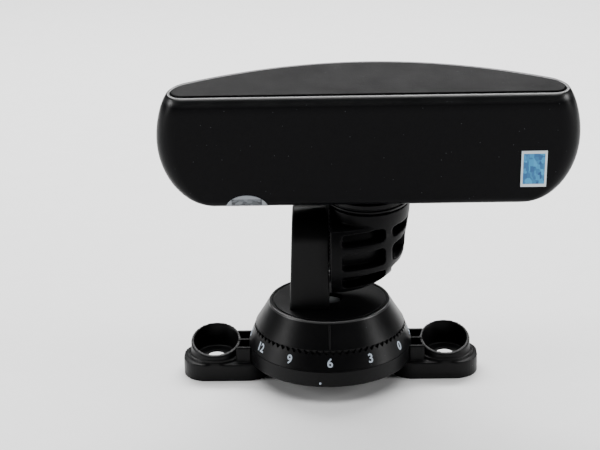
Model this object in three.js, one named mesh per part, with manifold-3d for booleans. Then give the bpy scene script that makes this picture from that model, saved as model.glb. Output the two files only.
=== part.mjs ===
// Vehicle radar antenna head on a dashboard stand.
// A wide D-shaped antenna housing sits on an elbow that tilts on a toothed side joint.
// The post of that joint stands on a turntable, which turns on a numbered, toothed base ring.
// The base ring stands on a mounting bar with a screw cup at each end.
// Millimetres, +Z up, front of the housing faces -Y, origin under the turntable axis on the table.
import * as THREE from "three";
import { mergeVertices } from "three/addons/utils/BufferGeometryUtils.js";
import Module from "manifold-3d";

const wasm = await Module();
wasm.setup();

// ---------------------------------------------------------------- driving dimensions
// Curve fineness, as segments round a turned piece
const FINE = 48;
const ROUND = 40;
const MEDIUM = 32;
const COARSE = 24;
const SMALL = 16;
const TINY = 12;
const HEXAGON = 6;

// Cutting tools
const OVERRUN = 1; // how far a cutting tool runs past the face it cuts
const REACH = 60; // size of a tool that only has to reach out of the piece

const GAP = 0.3; // clearance between pieces that move or rest on each other in the tilted group
const REST_TILT = THREE.MathUtils.degToRad(8); // nose-down angle the model is drawn at

// Mounting bar
const BAR_HEIGHT = 8;
const BAR_WALL = 2;
const LOBE_LENGTH = 39.6;
const LOBE_DEPTH = 25.4;
const LOBE_CORNER = 11;
const SCREW_HOLE_RADIUS = 3.65;
const LOBE_OVERHANG = 14.7; // from the screw hole to the outer end of the bar
const CUP_RADIUS = 11.3;
const CUP_GAP = 3.8; // between the hub's skirt and each screw cup
const CUP_BORE_RADIUS = 9;
const CUP_FLOOR = 1;
const CUP_REAR_HEIGHT = 10.7;
const CUP_FRONT_HEIGHT = 3.4;
const STEP_RADIUS = 12.6;
const STEP_HEIGHT = 1.2;
const WAIST_DEPTH = 14;
const FOOT_RADIUS = 19;
const PAD_RADIUS = 16;
const PAD_THICKNESS = 2.4;
const LIGHT_SLOT_WIDTH = 13;
const LIGHT_SLOT_HEIGHT = 5.4;
const RIB_THICKNESS = 1.8;
const RIB_SPACING = 9;
const RIB_INSET = 4; // how far the ribs start inside the skirt
const RIB_END_GAP = 0.5; // between the ribs' outer ends and the cup's bore
const WAIST_CORNER = 2;
const HEAD_ROOM = 2; // round the pan bolt's head

// Hub, dial ring and turntable
const SKIRT_RADIUS = 36.8;
const SKIRT_HEIGHT = 7.2;
const HUB_WALL = 3;
const DIAL_TOP_RADIUS = 33.6;
const DIAL_HEIGHT = 8.4;
const DIAL_WALL = 1.3;
const TOOTH_COUNT = 72;
const TOOTH_HEIGHT = 1.6;
const TURNTABLE_TOP_RADIUS = 27.3;
const TURNTABLE_HEIGHT = 12.0; // from the tooth tips to the flat top
const TURNTABLE_WALL = 2.6;
const CHAMFER_HEIGHT = 0.6;
const CHAMFER_DEPTH = 0.5;
const RIM_GROOVE_INSET = 1.6;
const RIM_GROOVE_DEPTH = 0.6;
const RIM_GROOVE_WIDTH = 0.6;
const BEARING_RADIUS = 11;
const BEARING_HEIGHT = 6;
const WASHER_THICKNESS = 1;
const WASHER_INSET = 1;

// Post and tilt joint
const POST_WIDTH_FOOT = 17.6;
const POST_WIDTH_TOP = 15.8;
const POST_HALF_DEPTH = 13.6;
const TILT_HEIGHT = 30.6; // tilt axis above the turntable top
const POST_ARCH_FINENESS = 20;
const POST_LIFT = 0.02; // keeps the post's foot clear of the turntable's top
const POST_SCREW_Y = 8;
const POST_SCREW_RADIUS = 1.5;
const POST_SCREW_LENGTH = 12;
const POST_SCREW_HEAD = 2.7;
const POST_SCREW_HEAD_HEIGHT = 2;
const POST_SCREW_RECESS = 3.2;
const PILOT_FIT = 0.1;
const SHANK_FIT = 0.15;
const SCREW_SEAT_DEPTH = 9; // from the post's inner face to the tilt screw's seat
const RING_FIT = 0.2; // round a tooth ring in its pocket
const RING_PROUD = 1; // how far a tooth ring stands out of its pocket
const JOINT_TOOTH_COUNT = 48;
const JOINT_TOOTH_HEIGHT = 0.8;
const JOINT_RING_RADIUS = 11.8;
const JOINT_RING_BORE = 7.4;
const JOINT_RING_THICKNESS = 1.8;
const BOLT_RADIUS = 3; // M6
const BOLT_CLEARANCE = 0.3;
const BOLT_HEAD_RADIUS = 5;
const BOLT_HEAD_HEIGHT = 4;
const NUT_RADIUS = 5.5;
const NUT_HEIGHT = 5;
const NUT_DEPTH = 1.4; // from the turntable's top to the pan nut
const PAN_HEAD_HEIGHT = 3;
const BORE_FIT = 0.1;
const THREAD_FIT = 0.05;
const SOCKET_MOUTH = 0.55; // drive recess of a bolt head, as shares of the head's radius and height
const SOCKET_FLOOR = 0.5;
const SOCKET_LEVEL = 0.45;
const SOCKET_OVERLAP = 0.2;
const SPRING_WASHER_LIP = 1;
const FLAT_WASHER_LIP = 1.5;

// Elbow
const ELBOW_RADIUS = 26;
const ELBOW_LENGTH = 32;
const COLLAR_OFFSET = 15; // collar axis to the right of the elbow's flat face
const COLLAR_RADIUS = 18.6;
const ELBOW_TOP = 18.6; // top of the elbow above the tilt axis
const NECK_RADIUS = 16.6;
const POCKET_DEPTH = 2.4;
const RING_HEIGHT = 5;
const RING_RADIUS = 19.4;
const CABLE_BORE_RADIUS = 9;
const CABLE_LIP = 1; // how far the housing hole is smaller than the elbow bore
const COLLAR_SCREW_CIRCLE = 13.4;
const PANEL_ROWS = [[-16.5, -8.6], [-5, 3.2], [6.4, 14.2]]; // heights of the recessed panels about the tilt axis
const PANEL_COLUMNS = [[5.6, 24.6], [27.6, 50]];
const PANEL_CORNER = 1.6;
const PANEL_RIB = 3;
const DOME_STEPS = 8;
const DOME_POWER = 0.85; // below 1 makes the dome fuller than an ellipse
const NECK_FLARE = 0.7; // share of the neck's height where it reaches the collar's radius
const NUT_SEAT = 6; // from the elbow's flat face to the tilt nut
const COLLAR_PILOT_RADIUS = 1.2;
const COLLAR_PILOT_DEPTH = 9;
const COLLAR_HOLE_RADIUS = 1.8;
const COLLAR_CHAMFER = 0.8;
const PANEL_FINENESS = 3;

// Antenna housing
const HEAD_WIDTH = 178.6;
const HEAD_DEPTH = 42;
const HEAD_HEIGHT = 50.5;
const HEAD_WALL = 2.6;
const HEAD_END_DEPTH = 18; // depth of the housing where the rear arc meets the ends
const TOP_INSET = 4.9;
const BELLY_LEVEL = 29; // height of the widest section above the underside
const LOWER_CORNER_WIDTH = 21;
const BOTTOM_ROUND = 4;
const TOP_ROUND_DEPTH = 2.6;
const TOP_ROUND_HEIGHT = 7;
const HEAD_LEVELS = [1.2, 4, 8, 14, 21, BELLY_LEVEL, 36, 43.5, 46.5, 49];
const LID_INSET = 1.6;
const LID_HEIGHT = 3;
const LID_PROUD = 0.5;
const LEDGE = 2;
const GASKET_THICKNESS = 1.2;
const GASKET_FREE = 0.4; // gasket overhang inside the ledge
const GASKET_FIT = 0.1;
const LEDGE_DEPTH = 8; // how far the lid opening is cut down
const LEDGE_THICKNESS = 2;
const CORNER_STEPS = 5;
const BACK_STEPS = 12;
const MIN_LEVEL_STEP = 0.4;
const CROWN_NARROWING = 0.3; // share of the crown's rounding that also narrows the housing
const HOUSING_HOLE_RADIUS = 1.6;
const COLLAR_SCREW_SHANK = 1.1;
const COLLAR_SCREW_LENGTH = 13;
const COLLAR_SCREW_HEAD = 2.8;
const COLLAR_SCREW_HEAD_HEIGHT = 2;

// Electronics
const BOARD_THICKNESS = 1.6;
const BOARD_LENGTH = 120;
const BOARD_DEPTH = 17;
const STANDOFF_HEIGHT = 4;
const BOARD_SCREW_RADIUS = 1.25;
const ANTENNA_WIDTH = 110;
const ANTENNA_HEIGHT = 30;
const PATCH_COUNT = 4;
const PATCH_SIZE = 14;
const PATCH_SPACING = 26;
const SOCKET_RADIUS = 6;
const SOCKET_LENGTH = 9;
const SOCKET_FLANGE_RADIUS = 8;
const SEAL_THICKNESS = 1.3;
const PATCH_THICKNESS = 0.4;
const SHIELD_WIDTH = 44;
const SHIELD_DEPTH = 6;
const SHIELD_HEIGHT = 18;
const SHIELD_WALL = 0.5;
const SHIELD_LIFT = 6;
const BOARD_Y = -4;
const ANTENNA_CLEARANCE = 3; // from the front wall to the middle of the antenna board
const BOARD_SCREW_INSET_X = 4;
const BOARD_SCREW_INSET_Y = 3;
const BOARD_SCREW_LENGTH = 5;
const BOARD_SCREW_HEAD = 2.2;
const BOARD_SCREW_HEAD_HEIGHT = 1.6;
const STANDOFF_RADIUS = 2.4;
const STANDOFF_PILOT_LOW = 0.8;
const ROOT = 0.5; // how far posts and rails run into the wall that they stand on
const RAIL_WIDTH = 4;
const RAIL_WALLS = 1.2;
const RAIL_OVERLAP = 1;
const RAIL_TRIM = 4;
const RAIL_SLOT_WIDTH = 6;
const RAIL_SLOT_OFFSET = 3;
const SCREW_FIT = 0.3;
const PATCH_FIT = 0.1;
const PROCESSOR = [12, 12, 1.4];
const PROCESSOR_X = -22;
const CAPACITOR_RADIUS = 3.5;
const CAPACITOR_HEIGHT = 9;
const CAPACITOR_X = 34;
const HEADER = [12, 5, 6];
const HEADER_X = 8;
const HEADER_OFFSET = 4;
const SOCKET_Z = 13;
const SOCKET_WALL = 1.2;
const SOCKET_FLOOR_Y = 3;
const SOCKET_SHOULDER = 3.4;
const SOCKET_FIT = 0.2;
const SEAL_INSET = 0.6;
const NUT_CLEARANCE = 2.5;
const SOCKET_NUT_HEIGHT = 2.2;

// Labels
const STICKER_WIDTH = 11.4;
const STICKER_HEIGHT = 17.6;
const STICKER_X = 68.5;
const STICKER_Z = 16.5;
const OVAL_WIDTH = 17;
const OVAL_HEIGHT = 10;
const OVAL_X = -51.7;
const OVAL_Z = 0.6;
const LABEL_OUTSIDE = -0.35; // insets of a label's two faces from the housing's surface
const LABEL_INSIDE = -0.1;
const LABEL_TOP = 8; // how far above the belly the label skin is made
const LABEL_FINENESS = 8;
const STICKER_CORNER = 0.6;

// Heights that follow from the sizes above
const HUB_Z = BAR_HEIGHT;
const DIAL_Z = HUB_Z + SKIRT_HEIGHT;
const TOOTH_TOP_Z = DIAL_Z + DIAL_HEIGHT;
const TABLE_Z = TOOTH_TOP_Z + TURNTABLE_HEIGHT - TOOTH_HEIGHT / 2;
const AXIS_Z = TABLE_Z + TILT_HEIGHT;
const HEAD_Z = ELBOW_TOP + GAP + RING_HEIGHT + GAP; // housing underside above the tilt axis
const HUB_FLOOR_Z = HUB_Z + HUB_WALL;
const BEARING_Z = HUB_FLOOR_Z + BEARING_HEIGHT;
const EAR_X = SKIRT_RADIUS + CUP_GAP + CUP_RADIUS; // screw holes on either side of the hub
const antennaY = -HEAD_DEPTH / 2 + HEAD_WALL + ANTENNA_CLEARANCE;

// ---------------------------------------------------------------- finishes
const FINISHES = {
  satinBlack: { color: 0x17181a, roughness: 0.5, metalness: 0 },
  texturedBlack: { color: 0x141416, roughness: 0.65, metalness: 0 },
  rubber: { color: 0x0e0e0e, roughness: 0.9, metalness: 0 },
  nylon: { color: 0xd8d4c8, roughness: 0.5, metalness: 0 },
  steel: { color: 0x9a9da0, roughness: 0.35, metalness: 1 },
  blackSteel: { color: 0x1d1d1f, roughness: 0.4, metalness: 1 },
  board: { color: 0x1c5a34, roughness: 0.5, metalness: 0 },
  laminate: { color: 0xe4dfcf, roughness: 0.6, metalness: 0 },
  copper: { color: 0xc98a52, roughness: 0.3, metalness: 1 },
  tin: { color: 0xb9bcc0, roughness: 0.3, metalness: 1 },
  chip: { color: 0x101012, roughness: 0.6, metalness: 0 },
  label: { color: 0xc8ccd0, roughness: 0.3, metalness: 0.6 },
  sticker: { color: 0x9fd4ee, roughness: 0.4, metalness: 0 },
};

// ---------------------------------------------------------------- geometry helpers
const object = new THREE.Group();
const tableGroup = new THREE.Group();
const tiltGroup = new THREE.Group();
object.add(tableGroup);
tableGroup.add(tiltGroup);
tiltGroup.position.set(0, 0, AXIS_Z);
tiltGroup.rotation.x = REST_TILT;

function addPiece(parent, name, geometry, finish) {
  const material = new THREE.MeshStandardMaterial(FINISHES[finish]);
  const mesh = new THREE.Mesh(geometry, material);
  mesh.name = name;
  parent.add(mesh);
  return mesh;
}

function toSolid(geometry) {
  const bare = geometry.clone();
  bare.deleteAttribute("normal");
  bare.deleteAttribute("uv");
  const merged = mergeVertices(bare, 1e-4);
  return new wasm.Manifold(
    new wasm.Mesh({
      numProp: 3,
      vertProperties: new Float32Array(merged.attributes.position.array),
      triVerts: new Uint32Array(merged.index.array),
    }),
  );
}

function toGeometry(solid) {
  const mesh = solid.getMesh();
  const geometry = new THREE.BufferGeometry();
  geometry.setAttribute("position", new THREE.BufferAttribute(mesh.vertProperties, 3));
  geometry.setIndex(new THREE.BufferAttribute(mesh.triVerts, 1));
  return geometry;
}

function join(...geometries) {
  return toGeometry(geometries.map(toSolid).reduce((sum, next) => sum.add(next)));
}

function cut(geometry, ...tools) {
  return toGeometry(tools.map(toSolid).reduce((rest, tool) => rest.subtract(tool), toSolid(geometry)));
}

function overlap(first, second) {
  return toGeometry(toSolid(first).intersect(toSolid(second)));
}

// Turned piece about Z from [radius, height] points, given with the material on their left.
function turned(points, segments = FINE) {
  const profile = points.map(([radius, height]) => new THREE.Vector2(radius, height));
  return new THREE.LatheGeometry(profile, segments).rotateX(Math.PI / 2);
}

// Plain disc or tube about Z.
function tube(outer, inner, low, high, segments = MEDIUM) {
  if (inner > 0) {
    return turned([[inner, low], [outer, low], [outer, high], [inner, high], [inner, low]], segments);
  }
  return turned([[0, low], [outer, low], [outer, high], [0, high]], segments);
}

function box(width, depth, height, x = 0, y = 0, z = 0) {
  return new THREE.BoxGeometry(width, depth, height).translate(x, y, z + height / 2);
}

function prism(shape, low, high, curveSegments = 8) {
  const depth = high - low;
  const geometry = new THREE.ExtrudeGeometry(shape, { depth, bevelEnabled: false, curveSegments });
  return geometry.translate(0, 0, low);
}

function roundedRectangle(width, height, radius, x = 0, y = 0) {
  const shape = new THREE.Shape();
  const right = x + width / 2;
  const top = y + height / 2;
  shape.moveTo(right - width + radius, top - height);
  shape.lineTo(right - radius, top - height);
  shape.absarc(right - radius, top - height + radius, radius, -Math.PI / 2, 0);
  shape.lineTo(right, top - radius);
  shape.absarc(right - radius, top - radius, radius, 0, Math.PI / 2);
  shape.lineTo(right - width + radius, top);
  shape.absarc(right - width + radius, top - radius, radius, Math.PI / 2, Math.PI);
  shape.lineTo(right - width, top - height + radius);
  shape.absarc(right - width + radius, top - height + radius, radius, Math.PI, Math.PI * 1.5);
  return shape;
}

// Closed skin through a stack of outlines that all have the same number of points.
function loft(outlines) {
  const count = outlines[0].length;
  const points = outlines.flat();
  const faces = [];
  outlines.slice(1).forEach((_, level) => {
    for (let i = 0; i < count; i += 1) {
      const a = level * count + i;
      const b = level * count + ((i + 1) % count);
      faces.push(a, b, b + count, a, b + count, a + count);
    }
  });
  const flat = (outline) => outline.map((p) => new THREE.Vector2(p.x, p.y));
  const top = (outlines.length - 1) * count;
  for (const [a, b, c] of THREE.ShapeUtils.triangulateShape(flat(outlines[0]), [])) {
    faces.push(a, c, b);
  }
  for (const [a, b, c] of THREE.ShapeUtils.triangulateShape(flat(outlines.at(-1)), [])) {
    faces.push(top + a, top + b, top + c);
  }
  const geometry = new THREE.BufferGeometry().setFromPoints(points);
  geometry.setIndex(faces);
  return geometry;
}

// Socket-head or hexagon bolt about Z: the head sits above z = 0 and the shank below it.
function bolt(shankRadius, length, headRadius, headHeight, headSegments = SMALL) {
  const head = turned(
    [
      [0, 0],
      [headRadius, 0],
      [headRadius, headHeight],
      [headRadius * SOCKET_MOUTH, headHeight],
      [headRadius * SOCKET_FLOOR, headHeight * SOCKET_LEVEL],
      [0, headHeight * SOCKET_LEVEL],
    ],
    headSegments,
  );
  const shank = tube(shankRadius, 0, -length, headHeight * SOCKET_OVERLAP, SMALL);
  return join(head, shank);
}

function hexNut(radius, bore, height) {
  return cut(tube(radius, 0, 0, height, HEXAGON), tube(bore, 0, -OVERRUN, height + OVERRUN, COARSE));
}

// Ring about Z whose top face carries radial V teeth.
function toothedRing(outer, inner, base, crest, teeth) {
  const outlines = [[], [], [], []];
  for (let i = 0; i < teeth * 2; i += 1) {
    const angle = (i * Math.PI) / teeth;
    const top = i % 2 === 0 ? crest : base;
    const at = (radius, z) => new THREE.Vector3(radius * Math.cos(angle), radius * Math.sin(angle), z);
    outlines[0].push(at(inner, 0));
    outlines[1].push(at(outer, 0));
    outlines[2].push(at(outer, top));
    outlines[3].push(at(inner, top));
  }
  return ringSkin(outlines);
}

// Closed skin of a ring: four outlines that follow each other round its section.
function ringSkin(outlines) {
  const count = outlines[0].length;
  const faces = [];
  outlines.forEach((_, side) => {
    const next = (side + 1) % outlines.length;
    for (let i = 0; i < count; i += 1) {
      const j = (i + 1) % count;
      const [a, b] = [side * count + i, side * count + j];
      const [c, d] = [next * count + j, next * count + i];
      faces.push(a, b, c, a, c, d);
    }
  });
  const geometry = new THREE.BufferGeometry().setFromPoints(outlines.flat());
  geometry.setIndex(faces);
  return geometry;
}

// ---------------------------------------------------------------- mounting bar
function lobeShape(side, inset) {
  const centre = side * (EAR_X + LOBE_OVERHANG - LOBE_LENGTH / 2);
  return roundedRectangle(LOBE_LENGTH - 2 * inset, LOBE_DEPTH - 2 * inset, LOBE_CORNER - inset, centre);
}

function screwCup(side) {
  const x = side * EAR_X;
  const middle = (CUP_REAR_HEIGHT + CUP_FRONT_HEIGHT) / 2;
  const slope = Math.atan((CUP_REAR_HEIGHT - CUP_FRONT_HEIGHT) / (2 * CUP_RADIUS));
  const tall = tube(CUP_RADIUS, 0, BAR_HEIGHT - BAR_WALL, BAR_HEIGHT + 2 * CUP_REAR_HEIGHT, ROUND);
  const above = box(REACH, REACH, REACH).rotateX(slope).translate(0, 0, BAR_HEIGHT + middle);
  const step = tube(STEP_RADIUS, 0, BAR_HEIGHT - BAR_WALL, BAR_HEIGHT + STEP_HEIGHT, ROUND);
  return join(cut(tall, above), step).translate(x, 0, 0);
}

function webRibs(side) {
  const inner = SKIRT_RADIUS - RIB_INSET;
  const outer = EAR_X - CUP_BORE_RADIUS - RIB_END_GAP;
  const middle = (side * (inner + outer)) / 2;
  const rib = (y) =>
    box(outer - inner, RIB_THICKNESS, SKIRT_HEIGHT + BAR_WALL, middle, y, BAR_HEIGHT - BAR_WALL);
  return join(rib(-RIB_SPACING), rib(0), rib(RIB_SPACING));
}

function mountingBar() {
  const outside = [prism(roundedRectangle(EAR_X * 2, WAIST_DEPTH, WAIST_CORNER), 0, BAR_HEIGHT)];
  const hollows = [];
  for (const side of [-1, 1]) {
    outside.push(prism(lobeShape(side, 0), 0, BAR_HEIGHT), screwCup(side), webRibs(side));
    hollows.push(
      prism(lobeShape(side, BAR_WALL), -OVERRUN, BAR_HEIGHT - CUP_FLOOR),
      tube(CUP_BORE_RADIUS, 0, BAR_HEIGHT, BAR_HEIGHT + REACH, ROUND).translate(side * EAR_X, 0, 0),
      tube(SCREW_HOLE_RADIUS, 0, -OVERRUN, BAR_HEIGHT + OVERRUN, COARSE).translate(side * EAR_X, 0, 0),
      box(LIGHT_SLOT_WIDTH, LOBE_DEPTH, LIGHT_SLOT_HEIGHT + OVERRUN, side * EAR_X, LOBE_DEPTH / 2, -OVERRUN),
    );
  }
  outside.push(tube(FOOT_RADIUS, 0, 0, BAR_HEIGHT, FINE));
  hollows.push(
    tube(PAD_RADIUS + GAP, 0, -OVERRUN, PAD_THICKNESS, FINE),
    tube(BOLT_HEAD_RADIUS + HEAD_ROOM, 0, 0, BAR_HEIGHT + OVERRUN, COARSE),
    tube(SKIRT_RADIUS, 0, HUB_Z, DIAL_Z + OVERRUN, FINE),
  );
  return cut(join(...outside), ...hollows);
}

addPiece(object, "mounting_bar", mountingBar(), "satinBlack");
addPiece(object, "foot_pad", tube(PAD_RADIUS, 0, 0, PAD_THICKNESS, MEDIUM), "rubber");

// ---------------------------------------------------------------- hub and dial ring
const boltBore = BOLT_RADIUS + BOLT_CLEARANCE;

function hubHousing() {
  return turned(
    [
      [boltBore, HUB_Z],
      [SKIRT_RADIUS, HUB_Z],
      [SKIRT_RADIUS, DIAL_Z],
      [SKIRT_RADIUS - HUB_WALL, DIAL_Z],
      [SKIRT_RADIUS - HUB_WALL, HUB_FLOOR_Z],
      [BEARING_RADIUS, HUB_FLOOR_Z],
      [BEARING_RADIUS, BEARING_Z],
      [boltBore, BEARING_Z],
      [boltBore, HUB_Z],
    ],
    FINE,
  );
}

// Conical ring that carries the numbers, with a saw-tooth upper edge.
function dialRing() {
  const outlines = [[], [], [], []];
  const slope = (SKIRT_RADIUS - DIAL_TOP_RADIUS) / DIAL_HEIGHT;
  for (let i = 0; i < TOOTH_COUNT * 2; i += 1) {
    const angle = (i * Math.PI) / TOOTH_COUNT;
    const rise = i % 2 === 0 ? DIAL_HEIGHT : DIAL_HEIGHT - TOOTH_HEIGHT;
    const radius = SKIRT_RADIUS - slope * rise;
    const at = (r, z) => new THREE.Vector3(r * Math.cos(angle), r * Math.sin(angle), z);
    outlines[0].push(at(SKIRT_RADIUS - DIAL_WALL * 2, DIAL_Z));
    outlines[1].push(at(SKIRT_RADIUS, DIAL_Z));
    outlines[2].push(at(radius, DIAL_Z + rise));
    outlines[3].push(at(radius - DIAL_WALL, DIAL_Z + rise));
  }
  return ringSkin(outlines);
}

addPiece(object, "hub_housing", hubHousing(), "satinBlack");
addPiece(object, "dial_ring", dialRing(), "satinBlack");
const washerTop = BEARING_Z + WASHER_THICKNESS;
const nylonWasher = tube(BEARING_RADIUS - WASHER_INSET, boltBore, BEARING_Z, washerTop, COARSE);
addPiece(object, "bearing_washer", nylonWasher, "nylon");

// ---------------------------------------------------------------- turntable
const tableFloorZ = washerTop + GAP;

function turntable() {
  const seamRadius = DIAL_TOP_RADIUS;
  const seamZ = TOOTH_TOP_Z + GAP;
  const innerRadius = DIAL_TOP_RADIUS - DIAL_WALL - GAP;
  const lipRadius = innerRadius - TURNTABLE_WALL;
  const grooveRadius = TURNTABLE_TOP_RADIUS - RIM_GROOVE_INSET;
  return turned(
    [
      [boltBore - BORE_FIT, tableFloorZ],
      [BEARING_RADIUS, tableFloorZ],
      [BEARING_RADIUS, TABLE_Z - TURNTABLE_WALL],
      [TURNTABLE_TOP_RADIUS - TURNTABLE_WALL, TABLE_Z - TURNTABLE_WALL],
      [lipRadius, seamZ],
      [lipRadius, seamZ - TOOTH_HEIGHT * 2],
      [innerRadius, seamZ - TOOTH_HEIGHT * 2],
      [innerRadius, seamZ],
      [seamRadius, seamZ],
      [TURNTABLE_TOP_RADIUS, TABLE_Z - CHAMFER_HEIGHT],
      [TURNTABLE_TOP_RADIUS - CHAMFER_DEPTH, TABLE_Z],
      [grooveRadius, TABLE_Z],
      [grooveRadius, TABLE_Z - RIM_GROOVE_DEPTH],
      [grooveRadius - RIM_GROOVE_WIDTH, TABLE_Z - RIM_GROOVE_DEPTH],
      [grooveRadius - RIM_GROOVE_WIDTH, TABLE_Z],
      [boltBore - BORE_FIT, TABLE_Z],
      [boltBore - BORE_FIT, tableFloorZ],
    ],
    FINE,
  );
}

const panNutZ = TABLE_Z - NUT_HEIGHT - NUT_DEPTH;
const postScrewX = -POST_WIDTH_FOOT / 2;

function boredTurntable() {
  const nutPocket = tube(NUT_RADIUS + GAP, 0, panNutZ - GAP, TABLE_Z + OVERRUN, HEXAGON);
  const screwHoles = [-1, 1].map((side) =>
    join(
      tube(POST_SCREW_RADIUS + BOLT_CLEARANCE, 0, BEARING_Z, TABLE_Z + OVERRUN, SMALL),
      tube(POST_SCREW_RECESS, 0, BEARING_Z, TABLE_Z - TURNTABLE_WALL, SMALL),
    ).translate(postScrewX, side * POST_SCREW_Y, 0),
  );
  return cut(turntable(), nutPocket, ...screwHoles);
}

addPiece(tableGroup, "turntable", boredTurntable(), "satinBlack");
const panNut = hexNut(NUT_RADIUS, BOLT_RADIUS + THREAD_FIT, NUT_HEIGHT).translate(0, 0, panNutZ);
addPiece(tableGroup, "pan_nut", panNut, "steel");
const panBoltHeadZ = HUB_Z - WASHER_THICKNESS * 2 - GAP;
const panBolt = bolt(BOLT_RADIUS, panNutZ + NUT_HEIGHT - panBoltHeadZ, BOLT_HEAD_RADIUS, PAN_HEAD_HEIGHT);
addPiece(tableGroup, "pan_bolt", panBolt.rotateX(Math.PI).translate(0, 0, panBoltHeadZ), "steel");
const washerLow = HUB_Z - WASHER_THICKNESS * 2;
const springRadius = BOLT_HEAD_RADIUS + SPRING_WASHER_LIP;
const springWasher = tube(springRadius, boltBore, washerLow, HUB_Z - WASHER_THICKNESS, COARSE);
addPiece(object, "spring_washer", springWasher, "steel");
const flatWasher = tube(BOLT_HEAD_RADIUS + FLAT_WASHER_LIP, boltBore, HUB_Z - WASHER_THICKNESS, HUB_Z, COARSE);
addPiece(object, "flat_washer", flatWasher, "steel");

// ---------------------------------------------------------------- post
const jointX = 0; // the post's inner face lies on the turntable's centre plane
const ringPocket = JOINT_RING_THICKNESS - RING_PROUD;

function postBlank() {
  const side = new THREE.Shape();
  side.moveTo(-POST_HALF_DEPTH, 0);
  side.lineTo(POST_HALF_DEPTH, 0);
  side.lineTo(POST_HALF_DEPTH, TILT_HEIGHT);
  side.absarc(0, TILT_HEIGHT, POST_HALF_DEPTH, 0, Math.PI);
  side.lineTo(-POST_HALF_DEPTH, 0);
  const slab = prism(side, -POST_WIDTH_FOOT, 0, POST_ARCH_FINENESS);
  return slab.rotateX(Math.PI / 2).rotateZ(Math.PI / 2);
}

function post() {
  const rise = TILT_HEIGHT + POST_HALF_DEPTH;
  const lean = Math.atan((POST_WIDTH_FOOT - POST_WIDTH_TOP) / rise);
  const outside = box(REACH, REACH, 2 * REACH, -REACH / 2, 0, -REACH / 2);
  outside.rotateY(lean).translate(-POST_WIDTH_FOOT, 0, 0);
  const alongX = (geometry) => geometry.rotateY(Math.PI / 2).translate(0, 0, TILT_HEIGHT);
  const tools = [
    outside,
    alongX(tube(boltBore, 0, -REACH, OVERRUN, COARSE)),
    alongX(tube(BOLT_HEAD_RADIUS + OVERRUN, 0, -REACH, -SCREW_SEAT_DEPTH, COARSE)),
    alongX(tube(JOINT_RING_RADIUS + RING_FIT, 0, -ringPocket, OVERRUN, FINE)),
  ];
  for (const end of [-1, 1]) {
    const pilot = tube(POST_SCREW_RADIUS - PILOT_FIT, 0, -OVERRUN, POST_SCREW_LENGTH, SMALL);
    tools.push(pilot.translate(postScrewX, end * POST_SCREW_Y, 0));
  }
  return cut(postBlank(), ...tools).translate(jointX, 0, TABLE_Z + POST_LIFT);
}

addPiece(tableGroup, "post", post(), "satinBlack");

[-1, 1].forEach((side, index) => {
  const headZ = TABLE_Z - TURNTABLE_WALL - GAP;
  const shank = POST_SCREW_RADIUS - SHANK_FIT;
  const screw = bolt(shank, POST_SCREW_LENGTH, POST_SCREW_HEAD, POST_SCREW_HEAD_HEIGHT, TINY);
  screw.rotateX(Math.PI).translate(postScrewX, side * POST_SCREW_Y, headZ);
  addPiece(tableGroup, `post_screw_${index + 1}`, screw, "steel");
});

const toothBase = JOINT_RING_THICKNESS - JOINT_TOOTH_HEIGHT;
const ringGeometry = () =>
  toothedRing(JOINT_RING_RADIUS, JOINT_RING_BORE, toothBase, JOINT_RING_THICKNESS, JOINT_TOOTH_COUNT);
const postRing = ringGeometry().rotateY(Math.PI / 2).translate(jointX - ringPocket, 0, AXIS_Z);
addPiece(tableGroup, "post_tooth_ring", postRing, "satinBlack");

const screwSeatX = jointX - SCREW_SEAT_DEPTH;
const tiltWasher = tube(BOLT_HEAD_RADIUS, boltBore, screwSeatX - WASHER_THICKNESS, screwSeatX, COARSE);
addPiece(tableGroup, "tilt_washer", tiltWasher.rotateY(Math.PI / 2).translate(0, 0, AXIS_Z), "steel");

// ---------------------------------------------------------------- elbow
// The elbow's flat face stands this far from the post, leaving room for both rings' teeth.
const elbowX = jointX + 2 * (JOINT_RING_THICKNESS - ringPocket) + GAP;
const nutSeatX = elbowX + NUT_SEAT;
const collarX = elbowX + COLLAR_OFFSET;
const screwLength = nutSeatX + NUT_HEIGHT - screwSeatX + WASHER_THICKNESS;
const tiltScrew = bolt(BOLT_RADIUS, screwLength, BOLT_HEAD_RADIUS, BOLT_HEAD_HEIGHT);
tiltScrew.rotateY(-Math.PI / 2).translate(screwSeatX - WASHER_THICKNESS, 0, AXIS_Z);
addPiece(tableGroup, "tilt_screw", tiltScrew, "blackSteel");

// Round end of the elbow, turned about the tilt axis; shrink gives the floor of its pockets.
function elbowDome(shrink) {
  const radius = ELBOW_RADIUS - shrink;
  const reach = ELBOW_LENGTH - shrink;
  const points = [[0, 0]];
  for (let i = 0; i < DOME_STEPS; i += 1) {
    const angle = (i / DOME_STEPS) * (Math.PI / 2);
    points.push([radius * Math.cos(angle) ** DOME_POWER, reach * Math.sin(angle)]);
  }
  points.push([0, reach]);
  return turned(points, MEDIUM).rotateY(Math.PI / 2).translate(elbowX, 0, 0);
}

function elbowNeck(shrink, top) {
  return turned(
    [
      [0, 0],
      [NECK_RADIUS - shrink, 0],
      [COLLAR_RADIUS - shrink, ELBOW_TOP * NECK_FLARE],
      [COLLAR_RADIUS - shrink, top],
      [0, top],
    ],
    MEDIUM,
  ).translate(collarX, 0, 0);
}

// Panels between the elbow's ribs: rows and columns of them, on the front and on the back.
function elbowPanels() {
  const panels = [];
  for (const [low, high] of PANEL_ROWS) {
    for (const [left, right] of PANEL_COLUMNS) {
      const middle = (left + right) / 2;
      const outline = roundedRectangle(right - left, high - low, PANEL_CORNER, middle, (low + high) / 2);
      const upright = () => prism(outline, PANEL_RIB / 2, REACH, PANEL_FINENESS).rotateX(Math.PI / 2);
      panels.push(upright(), upright().translate(0, REACH + PANEL_RIB / 2, 0));
    }
  }
  return panels;
}

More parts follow.
